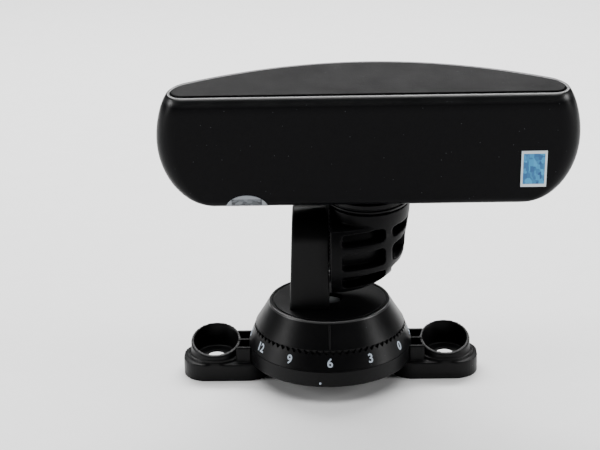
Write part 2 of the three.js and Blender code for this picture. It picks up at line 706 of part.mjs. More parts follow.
const collarPilot = () =>
  tube(COLLAR_PILOT_RADIUS, 0, ELBOW_TOP - COLLAR_PILOT_DEPTH, ELBOW_TOP + OVERRUN, TINY);

function elbow() {
  const core = join(elbowDome(POCKET_DEPTH), elbowNeck(POCKET_DEPTH, ELBOW_TOP + OVERRUN));
  const alongX = (geometry) => geometry.rotateY(Math.PI / 2);
  const tools = [
    box(REACH, REACH, 2 * REACH, elbowX - REACH / 2, 0, -REACH),
    box(2 * REACH, REACH, REACH, elbowX + REACH / 2, 0, ELBOW_TOP),
    ...elbowPanels().map((panel) => cut(panel, core)),
    alongX(tube(boltBore, 0, -OVERRUN, nutSeatX + OVERRUN, COARSE)),
    alongX(tube(NUT_RADIUS + GAP, 0, nutSeatX, nutSeatX + NUT_HEIGHT + 2 * GAP, HEXAGON)),
    alongX(tube(JOINT_RING_RADIUS + RING_FIT, 0, elbowX - OVERRUN, elbowX + ringPocket, MEDIUM)),
    tube(CABLE_BORE_RADIUS, 0, -NUT_RADIUS, ELBOW_TOP + OVERRUN, COARSE).translate(collarX, 0, 0),
    ...collarScrewPlaces().map(([x, y]) => collarPilot().translate(x, y, 0)),
  ];
  return cut(join(elbowDome(0), elbowNeck(0, ELBOW_TOP)), ...tools);
}

function collarScrewPlaces() {
  return [45, 135, 225, 315].map((degrees) => {
    const angle = THREE.MathUtils.degToRad(degrees);
    return [collarX + COLLAR_SCREW_CIRCLE * Math.cos(angle), COLLAR_SCREW_CIRCLE * Math.sin(angle)];
  });
}

addPiece(tiltGroup, "elbow", elbow(), "texturedBlack");
const elbowRing = ringGeometry().rotateY(-Math.PI / 2).translate(elbowX + ringPocket - GAP, 0, 0);
addPiece(tiltGroup, "elbow_tooth_ring", elbowRing, "satinBlack");
const tiltNut = hexNut(NUT_RADIUS, boltBore, NUT_HEIGHT).rotateY(Math.PI / 2);
addPiece(tiltGroup, "tilt_nut", tiltNut.translate(nutSeatX + GAP, 0, 0), "steel");

function collarRing() {
  const low = ELBOW_TOP + GAP;
  const ring = turned(
    [
      [CABLE_BORE_RADIUS, low],
      [RING_RADIUS - COLLAR_CHAMFER, low],
      [RING_RADIUS, low + COLLAR_CHAMFER],
      [RING_RADIUS, low + RING_HEIGHT],
      [CABLE_BORE_RADIUS, low + RING_HEIGHT],
      [CABLE_BORE_RADIUS, low],
    ],
    ROUND,
  ).translate(collarX, 0, 0);
  const hole = () => tube(COLLAR_HOLE_RADIUS, 0, 0, HEAD_Z, TINY);
  const holes = collarScrewPlaces().map(([x, y]) => hole().translate(x, y, 0));
  return cut(ring, ...holes);
}

addPiece(tiltGroup, "collar_ring", collarRing(), "satinBlack");

// ---------------------------------------------------------------- antenna housing
const headGroup = new THREE.Group();
headGroup.position.set(collarX, 0, HEAD_Z);
tiltGroup.add(headGroup);

// Quarter-ellipse inset: nothing at distance = span, the full amount at distance = 0.
function roundOver(amount, distance, span) {
  const t = Math.min(Math.max(1 - distance / span, 0), 1);
  return amount * (1 - Math.sqrt(1 - t * t));
}

// D-shaped outline: straight front, round ends and a shallow arc across the back.
function outlineD(halfWidth, front, endDepth, bulge, z) {
  const radius = endDepth / 2;
  const points = [];
  const add = (x, y) => {
    const arc = y > front + radius ? bulge * (1 - (x / halfWidth) ** 2) : 0;
    points.push(new THREE.Vector3(x, y + arc, z));
  };
  for (let i = 0; i <= CORNER_STEPS * 2; i += 1) {
    const angle = -Math.PI / 2 + (i / CORNER_STEPS) * (Math.PI / 2);
    add(halfWidth - radius + radius * Math.cos(angle), front + radius + radius * Math.sin(angle));
  }
  const start = halfWidth - radius;
  for (let i = 1; i < BACK_STEPS; i += 1) {
    add(start - (2 * start * i) / BACK_STEPS, front + endDepth);
  }
  for (let i = 0; i <= CORNER_STEPS * 2; i += 1) {
    const angle = Math.PI / 2 + (i / CORNER_STEPS) * (Math.PI / 2);
    add(-halfWidth + radius + radius * Math.cos(angle), front + radius + radius * Math.sin(angle));
  }
  return points;
}

// Section of the housing at one height, drawn inwards by the given inset.
function headSection(z, inset, level = z) {
  const low = roundOver(LOWER_CORNER_WIDTH, level, BELLY_LEVEL);
  const high = TOP_INSET * Math.max((level - BELLY_LEVEL) / (HEAD_HEIGHT - BELLY_LEVEL), 0) ** 2;
  const edge = roundOver(BOTTOM_ROUND, level, BOTTOM_ROUND);
  const crown = roundOver(TOP_ROUND_DEPTH, HEAD_HEIGHT - level, TOP_ROUND_HEIGHT);
  const around = inset + edge + crown;
  const halfWidth = HEAD_WIDTH / 2 - low - high - inset - crown * CROWN_NARROWING;
  const bulge = HEAD_DEPTH - HEAD_END_DEPTH;
  return outlineD(halfWidth, -HEAD_DEPTH / 2 + around, HEAD_END_DEPTH - 2 * around, bulge, z);
}

function headSkin(inset, low, high) {
  const levels = HEAD_LEVELS.filter((level) => level > low + MIN_LEVEL_STEP && level < high - MIN_LEVEL_STEP);
  const sections = [low, ...levels, high].map((level) =>
    headSection(level, inset, Math.min(Math.max(level, 0), HEAD_HEIGHT)),
  );
  return loft(sections);
}

function lidOutline(inset) {
  const width = HEAD_WIDTH / 2 - TOP_INSET - TOP_ROUND_DEPTH * CROWN_NARROWING - LID_INSET - inset;
  const around = TOP_ROUND_DEPTH + LID_INSET + inset;
  const bulge = HEAD_DEPTH - HEAD_END_DEPTH;
  return (z) => outlineD(width, -HEAD_DEPTH / 2 + around, HEAD_END_DEPTH - 2 * around, bulge, z);
}

function slab(outline, low, high) {
  return loft([outline(low), outline(high)]);
}

const lidSeatZ = HEAD_HEIGHT - LID_HEIGHT;
const boardZ = HEAD_WALL + STANDOFF_HEIGHT;
const antennaZ = boardZ;
const boardScrewX = BOARD_LENGTH / 2 - BOARD_SCREW_INSET_X;
const boardScrewY = BOARD_DEPTH / 2 - BOARD_SCREW_INSET_Y;
const boardScrewPlaces = [-1, 1].flatMap((side) =>
  [-1, 1].map((end) => [side * boardScrewX, BOARD_Y + end * boardScrewY]),
);
const rearWallY = HEAD_DEPTH / 2;

const boardPilot = () =>
  tube(BOARD_SCREW_RADIUS - SOCKET_FIT, 0, STANDOFF_PILOT_LOW, boardZ + OVERRUN, TINY);
const housingHole = () => tube(HOUSING_HOLE_RADIUS, 0, -OVERRUN, HEAD_WALL + OVERRUN, TINY);

function headShell() {
  const standoff = () => tube(STANDOFF_RADIUS, 0, HEAD_WALL - ROOT, boardZ, TINY);
  const posts = boardScrewPlaces.map(([x, y]) => standoff().translate(x, y, 0));
  const rails = [-1, 1].map((side) => {
    const x = side * (ANTENNA_WIDTH / 2 + RAIL_OVERLAP);
    const slotWidth = BOARD_THICKNESS + 2 * GAP;
    const railHeight = antennaZ + ANTENNA_HEIGHT - RAIL_TRIM;
    const rail = box(RAIL_WIDTH, slotWidth + RAIL_WALLS, railHeight, x, antennaY, HEAD_WALL - ROOT);
    const slotX = x - side * RAIL_SLOT_OFFSET;
    return cut(rail, box(RAIL_SLOT_WIDTH, slotWidth, ANTENNA_HEIGHT, slotX, antennaY, antennaZ - GAP));
  });
  const hollow = cut(
    headSkin(0, 0, HEAD_HEIGHT),
    headSkin(HEAD_WALL, HEAD_WALL, lidSeatZ - GASKET_THICKNESS - LEDGE_THICKNESS),
    slab(lidOutline(-GAP), lidSeatZ - GASKET_THICKNESS - GAP, HEAD_HEIGHT + OVERRUN),
    slab(lidOutline(LEDGE), lidSeatZ - LEDGE_DEPTH, HEAD_HEIGHT),
  );
  const holes = collarScrewPlaces().map(([x, y]) => housingHole().translate(x - collarX, y, 0));
  const inlet = tube(SOCKET_RADIUS + SOCKET_FIT, 0, -SOCKET_LENGTH, SOCKET_LENGTH, COARSE).rotateX(Math.PI / 2);
  return cut(
    join(hollow, ...posts, ...rails),
    tube(CABLE_BORE_RADIUS - CABLE_LIP, 0, -OVERRUN, HEAD_WALL + OVERRUN, MEDIUM),
    inlet.translate(0, rearWallY, SOCKET_Z),
    ...boardScrewPlaces.map(([x, y]) => boardPilot().translate(x, y, 0)),
    ...holes,
  );
}

addPiece(headGroup, "housing", headShell(), "texturedBlack");
const gasket = cut(
  slab(lidOutline(0), lidSeatZ - GASKET_THICKNESS, lidSeatZ - GASKET_FIT),
  slab(lidOutline(LEDGE - GASKET_FREE), lidSeatZ - LEDGE_DEPTH, lidSeatZ + OVERRUN),
);
addPiece(headGroup, "lid_gasket", gasket, "rubber");
addPiece(headGroup, "lid", slab(lidOutline(0), lidSeatZ, HEAD_HEIGHT + LID_PROUD), "texturedBlack");

collarScrewPlaces().forEach(([x, y], index) => {
  const head = [COLLAR_SCREW_HEAD, COLLAR_SCREW_HEAD_HEIGHT];
  const screw = bolt(COLLAR_SCREW_SHANK, COLLAR_SCREW_LENGTH, ...head, TINY);
  screw.translate(x - collarX, y, HEAD_WALL + GAP);
  addPiece(headGroup, `collar_screw_${index + 1}`, screw, "steel");
});

// ---------------------------------------------------------------- electronics
function mainBoard() {
  const plate = box(BOARD_LENGTH, BOARD_DEPTH, BOARD_THICKNESS, 0, BOARD_Y, boardZ + GAP);
  const holes = boardScrewPlaces.map(([x, y]) =>
    tube(BOARD_SCREW_RADIUS + SCREW_FIT, 0, 0, 2 * boardZ, TINY).translate(x, y, 0),
  );
  return cut(plate, ...holes);
}

const boardTopZ = boardZ + GAP + BOARD_THICKNESS;
addPiece(headGroup, "main_board", mainBoard(), "board");
boardScrewPlaces.forEach(([x, y], index) => {
  const shank = BOARD_SCREW_RADIUS - SCREW_FIT;
  const screw = bolt(shank, BOARD_SCREW_LENGTH, BOARD_SCREW_HEAD, BOARD_SCREW_HEAD_HEIGHT, TINY);
  screw.translate(x, y, boardTopZ + GAP);
  addPiece(headGroup, `board_screw_${index + 1}`, screw, "steel");
});
addPiece(headGroup, "processor", box(...PROCESSOR, PROCESSOR_X, BOARD_Y, boardTopZ + GAP), "chip");
const capacitor = tube(CAPACITOR_RADIUS, 0, boardTopZ + GAP, boardTopZ + CAPACITOR_HEIGHT, SMALL);
addPiece(headGroup, "power_capacitor", capacitor.translate(CAPACITOR_X, BOARD_Y, 0), "tin");
const header = box(...HEADER, HEADER_X, BOARD_Y + HEADER_OFFSET, boardTopZ + GAP);
addPiece(headGroup, "lead_header", header, "nylon");

const antennaBoard = box(ANTENNA_WIDTH, BOARD_THICKNESS, ANTENNA_HEIGHT, 0, antennaY, antennaZ);
addPiece(headGroup, "antenna_board", antennaBoard, "laminate");
for (let i = 0; i < PATCH_COUNT; i += 1) {
  const x = (i - (PATCH_COUNT - 1) / 2) * PATCH_SPACING;
  const y = antennaY - BOARD_THICKNESS / 2 - PATCH_THICKNESS / 2 - PATCH_FIT;
  const z = antennaZ + (ANTENNA_HEIGHT - PATCH_SIZE) / 2;
  const patch = box(PATCH_SIZE, PATCH_THICKNESS, PATCH_SIZE, x, y, z);
  addPiece(headGroup, `antenna_patch_${i + 1}`, patch, "copper");
}

function shieldCan() {
  const rear = antennaY + BOARD_THICKNESS / 2 + GAP;
  const y = rear + SHIELD_DEPTH / 2;
  const z = antennaZ + SHIELD_LIFT;
  const innerWidth = SHIELD_WIDTH - 2 * SHIELD_WALL;
  const innerHeight = SHIELD_HEIGHT - 2 * SHIELD_WALL;
  const inside = box(innerWidth, SHIELD_DEPTH, innerHeight, 0, y - SHIELD_WALL, z + SHIELD_WALL);
  return cut(box(SHIELD_WIDTH, SHIELD_DEPTH, SHIELD_HEIGHT, 0, y, z), inside);
}

addPiece(headGroup, "shield_can", shieldCan(), "tin");

// ---------------------------------------------------------------- cable inlet
// Turned about Z with the mating end up, then laid along +Y out of the rear wall.
function alongRear(geometry) {
  return geometry.rotateX(-Math.PI / 2).translate(0, rearWallY, SOCKET_Z);
}

function cableSocket() {
  return turned(
    [
      [0, -SOCKET_LENGTH],
      [SOCKET_RADIUS, -SOCKET_LENGTH],
      [SOCKET_RADIUS, SEAL_THICKNESS + GAP],
      [SOCKET_FLANGE_RADIUS, SEAL_THICKNESS + GAP],
      [SOCKET_FLANGE_RADIUS, SOCKET_SHOULDER],
      [SOCKET_RADIUS, SOCKET_SHOULDER],
      [SOCKET_RADIUS, SOCKET_LENGTH],
      [SOCKET_RADIUS - SOCKET_WALL, SOCKET_LENGTH],
      [SOCKET_RADIUS - SOCKET_WALL, SOCKET_FLOOR_Y],
      [0, SOCKET_FLOOR_Y],
    ],
    COARSE,
  );
}

addPiece(headGroup, "cable_socket", alongRear(cableSocket()), "blackSteel");
const seal = tube(SOCKET_FLANGE_RADIUS - SEAL_INSET, SOCKET_RADIUS + PATCH_FIT, GAP, SEAL_THICKNESS, COARSE);
addPiece(headGroup, "socket_seal", alongRear(seal), "rubber");
const nutLow = -HEAD_WALL - GAP - NUT_CLEARANCE;
const socketNut = cut(
  tube(SOCKET_FLANGE_RADIUS, 0, nutLow, nutLow + SOCKET_NUT_HEIGHT, HEXAGON),
  tube(SOCKET_RADIUS + THREAD_FIT, 0, nutLow - OVERRUN, nutLow + SOCKET_NUT_HEIGHT + OVERRUN, COARSE),
);
addPiece(headGroup, "socket_nut", alongRear(socketNut), "steel");

// ---------------------------------------------------------------- labels
// A label is the part of a thin skin just outside the housing that an outline covers.
function label(outline, x, z) {
  const top = BELLY_LEVEL + LABEL_TOP;
  const outside = headSkin(LABEL_OUTSIDE, LABEL_OUTSIDE, top);
  const skin = cut(outside, headSkin(LABEL_INSIDE, LABEL_INSIDE, top + OVERRUN));
  const window = prism(outline, HEAD_DEPTH / 2 - BOTTOM_ROUND, HEAD_DEPTH, LABEL_FINENESS).rotateX(Math.PI / 2);
  return overlap(skin, window.translate(x, 0, z));
}

const stickerOutline = roundedRectangle(STICKER_WIDTH, STICKER_HEIGHT, STICKER_CORNER);
addPiece(headGroup, "inspection_sticker", label(stickerOutline, STICKER_X, STICKER_Z), "sticker");
const oval = new THREE.Shape();
oval.absellipse(0, 0, OVAL_WIDTH / 2, OVAL_HEIGHT / 2, 0, Math.PI * 2);
addPiece(headGroup, "oval_label", label(oval, OVAL_X, OVAL_Z), "label");

export default object;
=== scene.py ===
"""Looks of a vehicle radar antenna head on a tilt and pan stand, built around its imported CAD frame."""

import logging
import math
from dataclasses import dataclass, field
from enum import Enum
from typing import Callable, Sequence

import bpy
import numpy as np
from mathutils import Matrix, Vector

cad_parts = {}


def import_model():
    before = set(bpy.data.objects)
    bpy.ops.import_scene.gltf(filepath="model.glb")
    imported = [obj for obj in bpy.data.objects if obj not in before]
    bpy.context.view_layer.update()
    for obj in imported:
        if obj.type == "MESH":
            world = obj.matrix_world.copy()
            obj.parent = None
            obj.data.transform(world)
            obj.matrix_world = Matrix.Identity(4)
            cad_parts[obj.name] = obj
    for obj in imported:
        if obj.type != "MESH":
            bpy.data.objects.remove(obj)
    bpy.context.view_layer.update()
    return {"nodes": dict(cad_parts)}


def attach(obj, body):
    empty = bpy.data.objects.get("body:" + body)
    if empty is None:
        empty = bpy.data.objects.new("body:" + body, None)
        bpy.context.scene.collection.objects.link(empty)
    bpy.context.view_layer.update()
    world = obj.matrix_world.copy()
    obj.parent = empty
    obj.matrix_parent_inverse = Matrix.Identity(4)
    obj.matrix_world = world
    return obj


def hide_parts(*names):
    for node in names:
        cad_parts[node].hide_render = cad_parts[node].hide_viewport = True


LOG = logging.getLogger("radar_head")
MM = 0.001


class Body(Enum):
    """The record's material slots, passed along with new pieces."""

    BASE = "base"
    TABLE = "turntable"
    HEAD = "head"


class Slot(Enum):
    """The record's material slots used by new pieces."""

    MOULDED = "moulded_plastic"
    TEXTURED = "textured_plastic"
    STEEL = "steel"
    COPPER = "copper"
    LABEL = "label"
    STICKER = "sticker"
    NYLON = "nylon"


# ------------------------------------------------------------------ sizes, in millimetres


@dataclass(frozen=True)
class Tilt:
    """Place of the tilting group: its axis and the nose-down angle the CAD rests at."""

    axis_z: float = 65.4
    degrees: float = 8.0
    collar_x: float = 17.3
    head_z: float = 24.2

    def from_axis(self, points: np.ndarray) -> np.ndarray:
        """Turns points of the tilted group into the object's frame.

        Args:
            points: array of points in millimetres about the tilt axis.

        Returns:
            The same points, rotated about X and raised to the axis.
        """
        angle = math.radians(self.degrees)
        cosine, sine = math.cos(angle), math.sin(angle)
        x, y, z = points[..., 0], points[..., 1], points[..., 2]
        return np.stack([x, cosine * y - sine * z, sine * y + cosine * z + self.axis_z], axis=-1)

    def from_head(self, points: np.ndarray) -> np.ndarray:
        """Turns points measured from the housing's underside into the object's frame."""
        return self.from_axis(points + np.array([self.collar_x, 0.0, self.head_z]))


TILT = Tilt()


# ------------------------------------------------------------------ mesh helpers


def make_object(name: str, points: np.ndarray, faces: Sequence[Sequence[int]]) -> bpy.types.Object:
    """Puts points and faces into a new object and turns its faces outwards.

    Args:
        name: name of the piece.
        points: array (n, 3) in millimetres.
        faces: vertex indices of each face.

    Returns:
        The object, with its origin at the world's origin.
    """
    mesh = bpy.data.meshes.new(name)
    mesh.from_pydata((points * MM).tolist(), [], faces)
    mesh.update()
    obj = bpy.data.objects.new(name, mesh)
    bpy.context.scene.collection.objects.link(obj)
    if signed_volume(mesh) < 0:
        mesh.flip_normals()
    smooth = np.ones(len(mesh.polygons), dtype=bool)
    mesh.polygons.foreach_set("use_smooth", smooth)
    return obj


def signed_volume(mesh: bpy.types.Mesh) -> float:
    """Sums the volumes of the cones from the origin to each triangle: negative if inside out."""
    mesh.calc_loop_triangles()
    count = len(mesh.loop_triangles)
    corners = np.empty(count * 3, dtype=np.int32)
    mesh.loop_triangles.foreach_get("vertices", corners)
    places = np.empty(len(mesh.vertices) * 3)
    mesh.vertices.foreach_get("co", places)
    triangles = places.reshape(-1, 3)[corners].reshape(count, 3, 3)
    return float(np.einsum("ij,ij->i", triangles[:, 0], np.cross(triangles[:, 1], triangles[:, 2])).sum())


def ring_faces(rows: int, columns: int, joined: bool) -> list:
    """Quads between rows of a grid whose columns close on themselves.

    Args:
        rows: number of rings.
        columns: points in each ring.
        joined: True where the last ring meets the first again.

    Returns:
        List of quads as vertex indices.
    """
    last = rows if joined else rows - 1
    row, column = np.meshgrid(np.arange(last), np.arange(columns), indexing="ij")
    following = (row + 1) % rows
    beside = (column + 1) % columns
    quads = [
        row * columns + column,
        row * columns + beside,
        following * columns + beside,
        following * columns + column,
    ]
    return np.stack(quads, axis=-1).reshape(-1, 4).tolist()


def ring_skin(name: str, rings: np.ndarray, joined: bool = False) -> bpy.types.Object:
    """Closed skin through a stack of rings; open ends are closed with one flat face each.

    Args:
        name: name of the piece.
        rings: array (rows, columns, 3) in millimetres.
        joined: True for a tube whose last ring meets its first.

    Returns:
        The new object.
    """
    rows, columns = rings.shape[:2]
    faces = ring_faces(rows, columns, joined)
    if not joined:
        faces.append(list(range(columns))[::-1])
        faces.append([(rows - 1) * columns + i for i in range(columns)])
    return make_object(name, rings.reshape(-1, 3), faces)


def rounded_path(corners: Sequence[tuple], steps: int = 5) -> np.ndarray:
    """Path through corners, each given as (a, b, radius) and rounded by an arc of that radius.

    Each arc is a quadratic blend between the two points that lie the radius away from the corner.

    Args:
        corners: corner places with their rounding radius.
        steps: points on each rounded corner.

    Returns:
        Array (n, 2) of path points.
    """
    places = [np.array(corner[:2], dtype=float) for corner in corners]
    path = []
    for index, corner in enumerate(corners):
        radius = corner[2] if len(corner) > 2 else 0.0
        if radius <= 0 or index in (0, len(corners) - 1):
            path.append(places[index])
            continue
        before = places[index - 1] - places[index]
        after = places[index + 1] - places[index]
        start = places[index] + before * min(radius / np.linalg.norm(before), 0.49)
        end = places[index] + after * min(radius / np.linalg.norm(after), 0.49)
        for t in np.linspace(0, 1, steps):
            path.append((1 - t) ** 2 * start + 2 * t * (1 - t) * places[index] + t**2 * end)
    return np.array(path)


def turned(path: np.ndarray, count: int = 160) -> np.ndarray:
    """Rings of a turned surface: each path point (radius, height) carried round the Z axis."""
    angle = np.arange(count) * (2 * math.pi / count)
    radius, height = path[:, 0][:, None], path[:, 1][:, None]
    return np.stack([radius * np.cos(angle), radius * np.sin(angle), height + 0 * angle], axis=-1)


def along_x(points: np.ndarray) -> np.ndarray:
    """Lays a shape turned about Z along +X instead."""
    return np.stack([points[..., 2], points[..., 1], -points[..., 0]], axis=-1)


def paint_highlight_rings(obj: bpy.types.Object, amount: np.ndarray, columns: int) -> bpy.types.Object:
    """Writes how strongly a highlight is painted onto each ring of a skin, as a point attribute that its
    material reads.

    Args:
        obj: a skin made of rings.
        amount: one value for each ring, from 0 to 1.
        columns: points in each ring.

    Returns:
        amount: strength of the painted highlight on each ring, from 0 to 1.
    """
    layer = obj.data.attributes.new("touch_up", "FLOAT", "POINT")
    layer.data.foreach_set("value", np.repeat(np.asarray(amount, dtype=float), columns))
    return obj


def slab_outline(
    width: float, depth: float, corner: float, centre: tuple = (0.0, 0.0), steps: int = 12
) -> np.ndarray:
    """Rounded rectangle as a closed loop of points: four quarter circles joined by straight sides."""
    angle = np.linspace(0, math.pi / 2, steps)
    loops = []
    for turn, sign in enumerate([(1, 1), (-1, 1), (-1, -1), (1, -1)]):
        middle = np.array([sign[0] * (width / 2 - corner), sign[1] * (depth / 2 - corner)])
        around = angle + turn * math.pi / 2
        loops.append(middle + corner * np.stack([np.cos(around), np.sin(around)], axis=-1))
    return np.concatenate(loops) + np.array(centre)


def lift(outline: np.ndarray, height: float) -> np.ndarray:
    """Adds a height to each point of a flat outline."""
    return np.concatenate([outline, np.full((len(outline), 1), height)], axis=-1)


def finished_mesh(
    obj: bpy.types.Object, touch_up: Callable[[np.ndarray], np.ndarray] | None = None
) -> bpy.types.Object:
    """Replaces an object's mesh by the result of its modifiers.

    Args:
        obj: object with modifiers.
        touch_up: optional function that moves the final points, in metres.

    Returns:
        The same object, with no modifiers left.
    """
    result = bpy.data.meshes.new_from_object(obj.evaluated_get(bpy.context.evaluated_depsgraph_get()))
    obj.modifiers.clear()
    obj.data = result
    if touch_up is not None:
        places = np.empty(len(result.vertices) * 3)
        result.vertices.foreach_get("co", places)
        result.vertices.foreach_set("co", touch_up(places.reshape(-1, 3)).ravel())
    result.polygons.foreach_set("use_smooth", np.ones(len(result.polygons), dtype=bool))
    result.update()
    return obj


def carve(obj: bpy.types.Object, tool: bpy.types.Object, operation: str = "DIFFERENCE") -> bpy.types.Object:
    """Cuts or joins an object with a tool, which is used up.

    Args:
        obj: object to change.
        tool: closed mesh to cut or join with.
        operation: DIFFERENCE or UNION.

    Returns:
        The changed object.
    """
    modifier = obj.modifiers.new("carve", "BOOLEAN")
    modifier.operation = operation
    modifier.solver = "EXACT"
    modifier.object = tool
    finished_mesh(obj)
    bpy.data.objects.remove(tool)
    return obj


def joined(name: str, parts: Sequence[bpy.types.Object]) -> bpy.types.Object:
    """Puts several objects' meshes into one object, without uniting their surfaces."""
    points, faces, offset = [], [], 0
    for part in parts:
        places = np.empty(len(part.data.vertices) * 3)
        part.data.vertices.foreach_get("co", places)
        points.append(places.reshape(-1, 3) / MM)
        faces.extend([[offset + v for v in face.vertices] for face in part.data.polygons])
        offset += len(part.data.vertices)
        bpy.data.objects.remove(part)
    return make_object(name, np.concatenate(points), faces)


def moulded(obj: bpy.types.Object, voxel: float, passes: int) -> bpy.types.Object:
    """Melts overlapping solids into one skin and eases its edges, as a moulding's are.

    Args:
        obj: the overlapping solids.
        voxel: grid size in millimetres.
        passes: smoothing passes, each of which rounds edges a little more.

    Returns:
        The same object.
    """
    remesh = obj.modifiers.new("melt", "REMESH")
    remesh.mode = "VOXEL"
    remesh.voxel_size = voxel * MM
    remesh.use_smooth_shade = True
    ease = obj.modifiers.new("ease", "SMOOTH")
    ease.factor = 0.5
    ease.iterations = passes
    return finished_mesh(obj)


# ------------------------------------------------------------------ materials


def linear(hex_colour: str) -> tuple:
    """Turns an sRGB hex colour into linear RGBA."""
    parts = [int(hex_colour[i : i + 2], 16) / 255 for i in (1, 3, 5)]
    return tuple(c / 12.92 if c <= 0.04045 else ((c + 0.055) / 1.055) ** 2.4 for c in parts) + (1.0,)


def add_node(
    material: bpy.types.Material, kind: str, settings: dict | None = None, links: dict | None = None
):
    """Adds a node to a material.

    Args:
        material: material to add to.
        kind: node type.
        settings: attribute or input values by name; an input is named in:NAME.
        links: output sockets to connect, by input name.

    Returns:
        The new node.
    """
    node = material.node_tree.nodes.new(kind)
    for name, value in (settings or {}).items():
        if name.startswith("in:"):
            node.inputs[name[3:]].default_value = value
        else:
            setattr(node, name, value)
    for name, socket in (links or {}).items():
        material.node_tree.links.new(socket, node.inputs[name])
    return node


@dataclass(frozen=True)
class Plastic:
    """Moulded plastic: fine grain, slow shade changes and a dusting of pale specks.

    Attributes:
        name: the material's common name and how its surface was made.
        base: colour of the plastic.
        worn: colour of the slightly paler patches.
        roughness: how blurred reflections are.
        spread: how much roughness changes over the surface.
        grain_mm: size of the surface grain.
        grain_depth: depth of the grain in millimetres.
        specular: strength of the reflection at normal angle.
        specks: how many pale specks show, from 0 to 1.
        metallic: 1 for a metal.
        painted_edge_highlight: painted highlight, an extra reflection where the piece's highlight attribute is
            1, on the edges where a highlight falls.
    """

    name: str
    base: str
    worn: str
    roughness: float
    spread: float = 0.08
    grain_mm: float = 0.8
    grain_depth: float = 0.03
    specular: float = 0.5
    specks: float = 0.0
    metallic: float = 0.0
    painted_edge_highlight: float = 0.0

    def build(self) -> bpy.types.Material:
        """Makes the Blender material."""
        material = bpy.data.materials.new(self.name)
        material.use_nodes = True
        shader = material.node_tree.nodes["Principled BSDF"]
        place = add_node(material, "ShaderNodeTexCoord").outputs["Object"]
        cloud = add_node(
            material,
            "ShaderNodeTexNoise",
            {"in:Scale": 1 / (18 * MM), "in:Detail": 4.0, "in:Roughness": 0.6},
            {"Vector": place},
        ).outputs["Fac"]
        grain = add_node(
            material,
            "ShaderNodeTexNoise",
            {"in:Scale": 1 / (self.grain_mm * MM), "in:Detail": 2.0},
            {"Vector": place},
        ).outputs["Fac"]
        shade = add_node(
            material,
            "ShaderNodeMix",
            {"data_type": "RGBA"},
            {"Factor": cloud},
        )
        shade.inputs[6].default_value = linear(self.base)
        shade.inputs[7].default_value = linear(self.worn)
        colour = shade.outputs[2]
        if self.specks > 0:
            colour = self.with_specks(material, place, colour)
        material.node_tree.links.new(colour, shader.inputs["Base Color"])
        gloss = add_node(
            material,
            "ShaderNodeMapRange",
            {"in:From Min": 0.3, "in:From Max": 0.7, "in:To Min": self.roughness - self.spread,
             "in:To Max": self.roughness + self.spread},
            {"Value": cloud},
        ).outputs["Result"]
        material.node_tree.links.new(gloss, shader.inputs["Roughness"])
        bump = add_node(
            material,
            "ShaderNodeBump",
            {"in:Strength": 1.0, "in:Distance": self.grain_depth * MM},
            {"Height": grain},
        ).outputs["Normal"]
        material.node_tree.links.new(bump, shader.inputs["Normal"])
        shader.inputs["Metallic"].default_value = self.metallic
        shader.inputs["Specular IOR Level"].default_value = self.specular
        # Painted highlight: the specular level rises where the piece's highlight attribute is 1.
        if self.painted_edge_highlight > 0:
            touch_up = add_node(material, "ShaderNodeAttribute", {"attribute_name": "touch_up"}).outputs["Fac"]
            painted_highlight = add_node(
                material,
                "ShaderNodeMapRange",
                {"in:To Min": self.specular, "in:To Max": self.specular + self.painted_edge_highlight},
                {"Value": touch_up},
            ).outputs["Result"]
            material.node_tree.links.new(painted_highlight, shader.inputs["Specular IOR Level"])
        material.diffuse_color = linear(self.base)
        return material

    def with_specks(self, material: bpy.types.Material, place, colour):
        """Adds tiny pale specks: the few cells of a pattern whose random value is highest.

        Args:
            material: material being built.
            place: socket with the surface position.
            colour: socket with the colour below the specks.

        Returns:
            Socket with the speckled colour.
        """
        cells = add_node(
            material, "ShaderNodeTexVoronoi", {"in:Scale": 1 / (2.0 * MM)}, {"Vector": place}
        )
        near = add_node(
            material,
            "ShaderNodeMapRange",
            {"in:From Min": 0.1, "in:From Max": 0.05},
            {"Value": cells.outputs["Distance"]},
        ).outputs["Result"]
        lucky = add_node(
            material, "ShaderNodeSeparateColor", {}, {"Color": cells.outputs["Color"]}
        ).outputs["Red"]
        chosen = add_node(
            material,
            "ShaderNodeMath",
            {"operation": "GREATER_THAN"},
            {},
        )
        material.node_tree.links.new(lucky, chosen.inputs[0])
        chosen.inputs[1].default_value = 1 - self.specks
        amount = add_node(material, "ShaderNodeMath", {"operation": "MULTIPLY"}, {})
        material.node_tree.links.new(near, amount.inputs[0])
        material.node_tree.links.new(chosen.outputs[0], amount.inputs[1])
        faint = add_node(material, "ShaderNodeMath", {"operation": "MULTIPLY"}, {})
        material.node_tree.links.new(amount.outputs[0], faint.inputs[0])
        faint.inputs[1].default_value = 0.4
        mix = add_node(material, "ShaderNodeMix", {"data_type": "RGBA"}, {"Factor": faint.outputs[0]})
        material.node_tree.links.new(colour, mix.inputs[6])
        mix.inputs[7].default_value = linear("#6d7074")
        return mix.outputs[2]


# Spark-textured black ABS: an even, fine grain that blurs the studio into a soft grey, with a painted highlight
# along the crown and the rim under the lid.
HOUSING_ABS = Plastic(
    "spark textured black ABS", "#050506", "#08080a", 0.34, 0.04, 0.7, 0.04, 0.06, 0.15, 0.0, 0.45
)
# The lid comes from a coarser tool, so it is flatter and a little paler than the housing.
LID_ABS = Plastic("matt textured black ABS lid", "#040405", "#060607", 0.62, 0.05, 0.6, 0.07, 0.07, 0.1)
# Satin black ABS of the stand: smoother, with a soft highlight painted along the turntable's rim.
STAND_ABS = Plastic(
    "satin moulded black ABS", "#060607", "#09090a", 0.36, 0.06, 1.1, 0.025, 0.13, 0.05, 0.0, 0.8
)
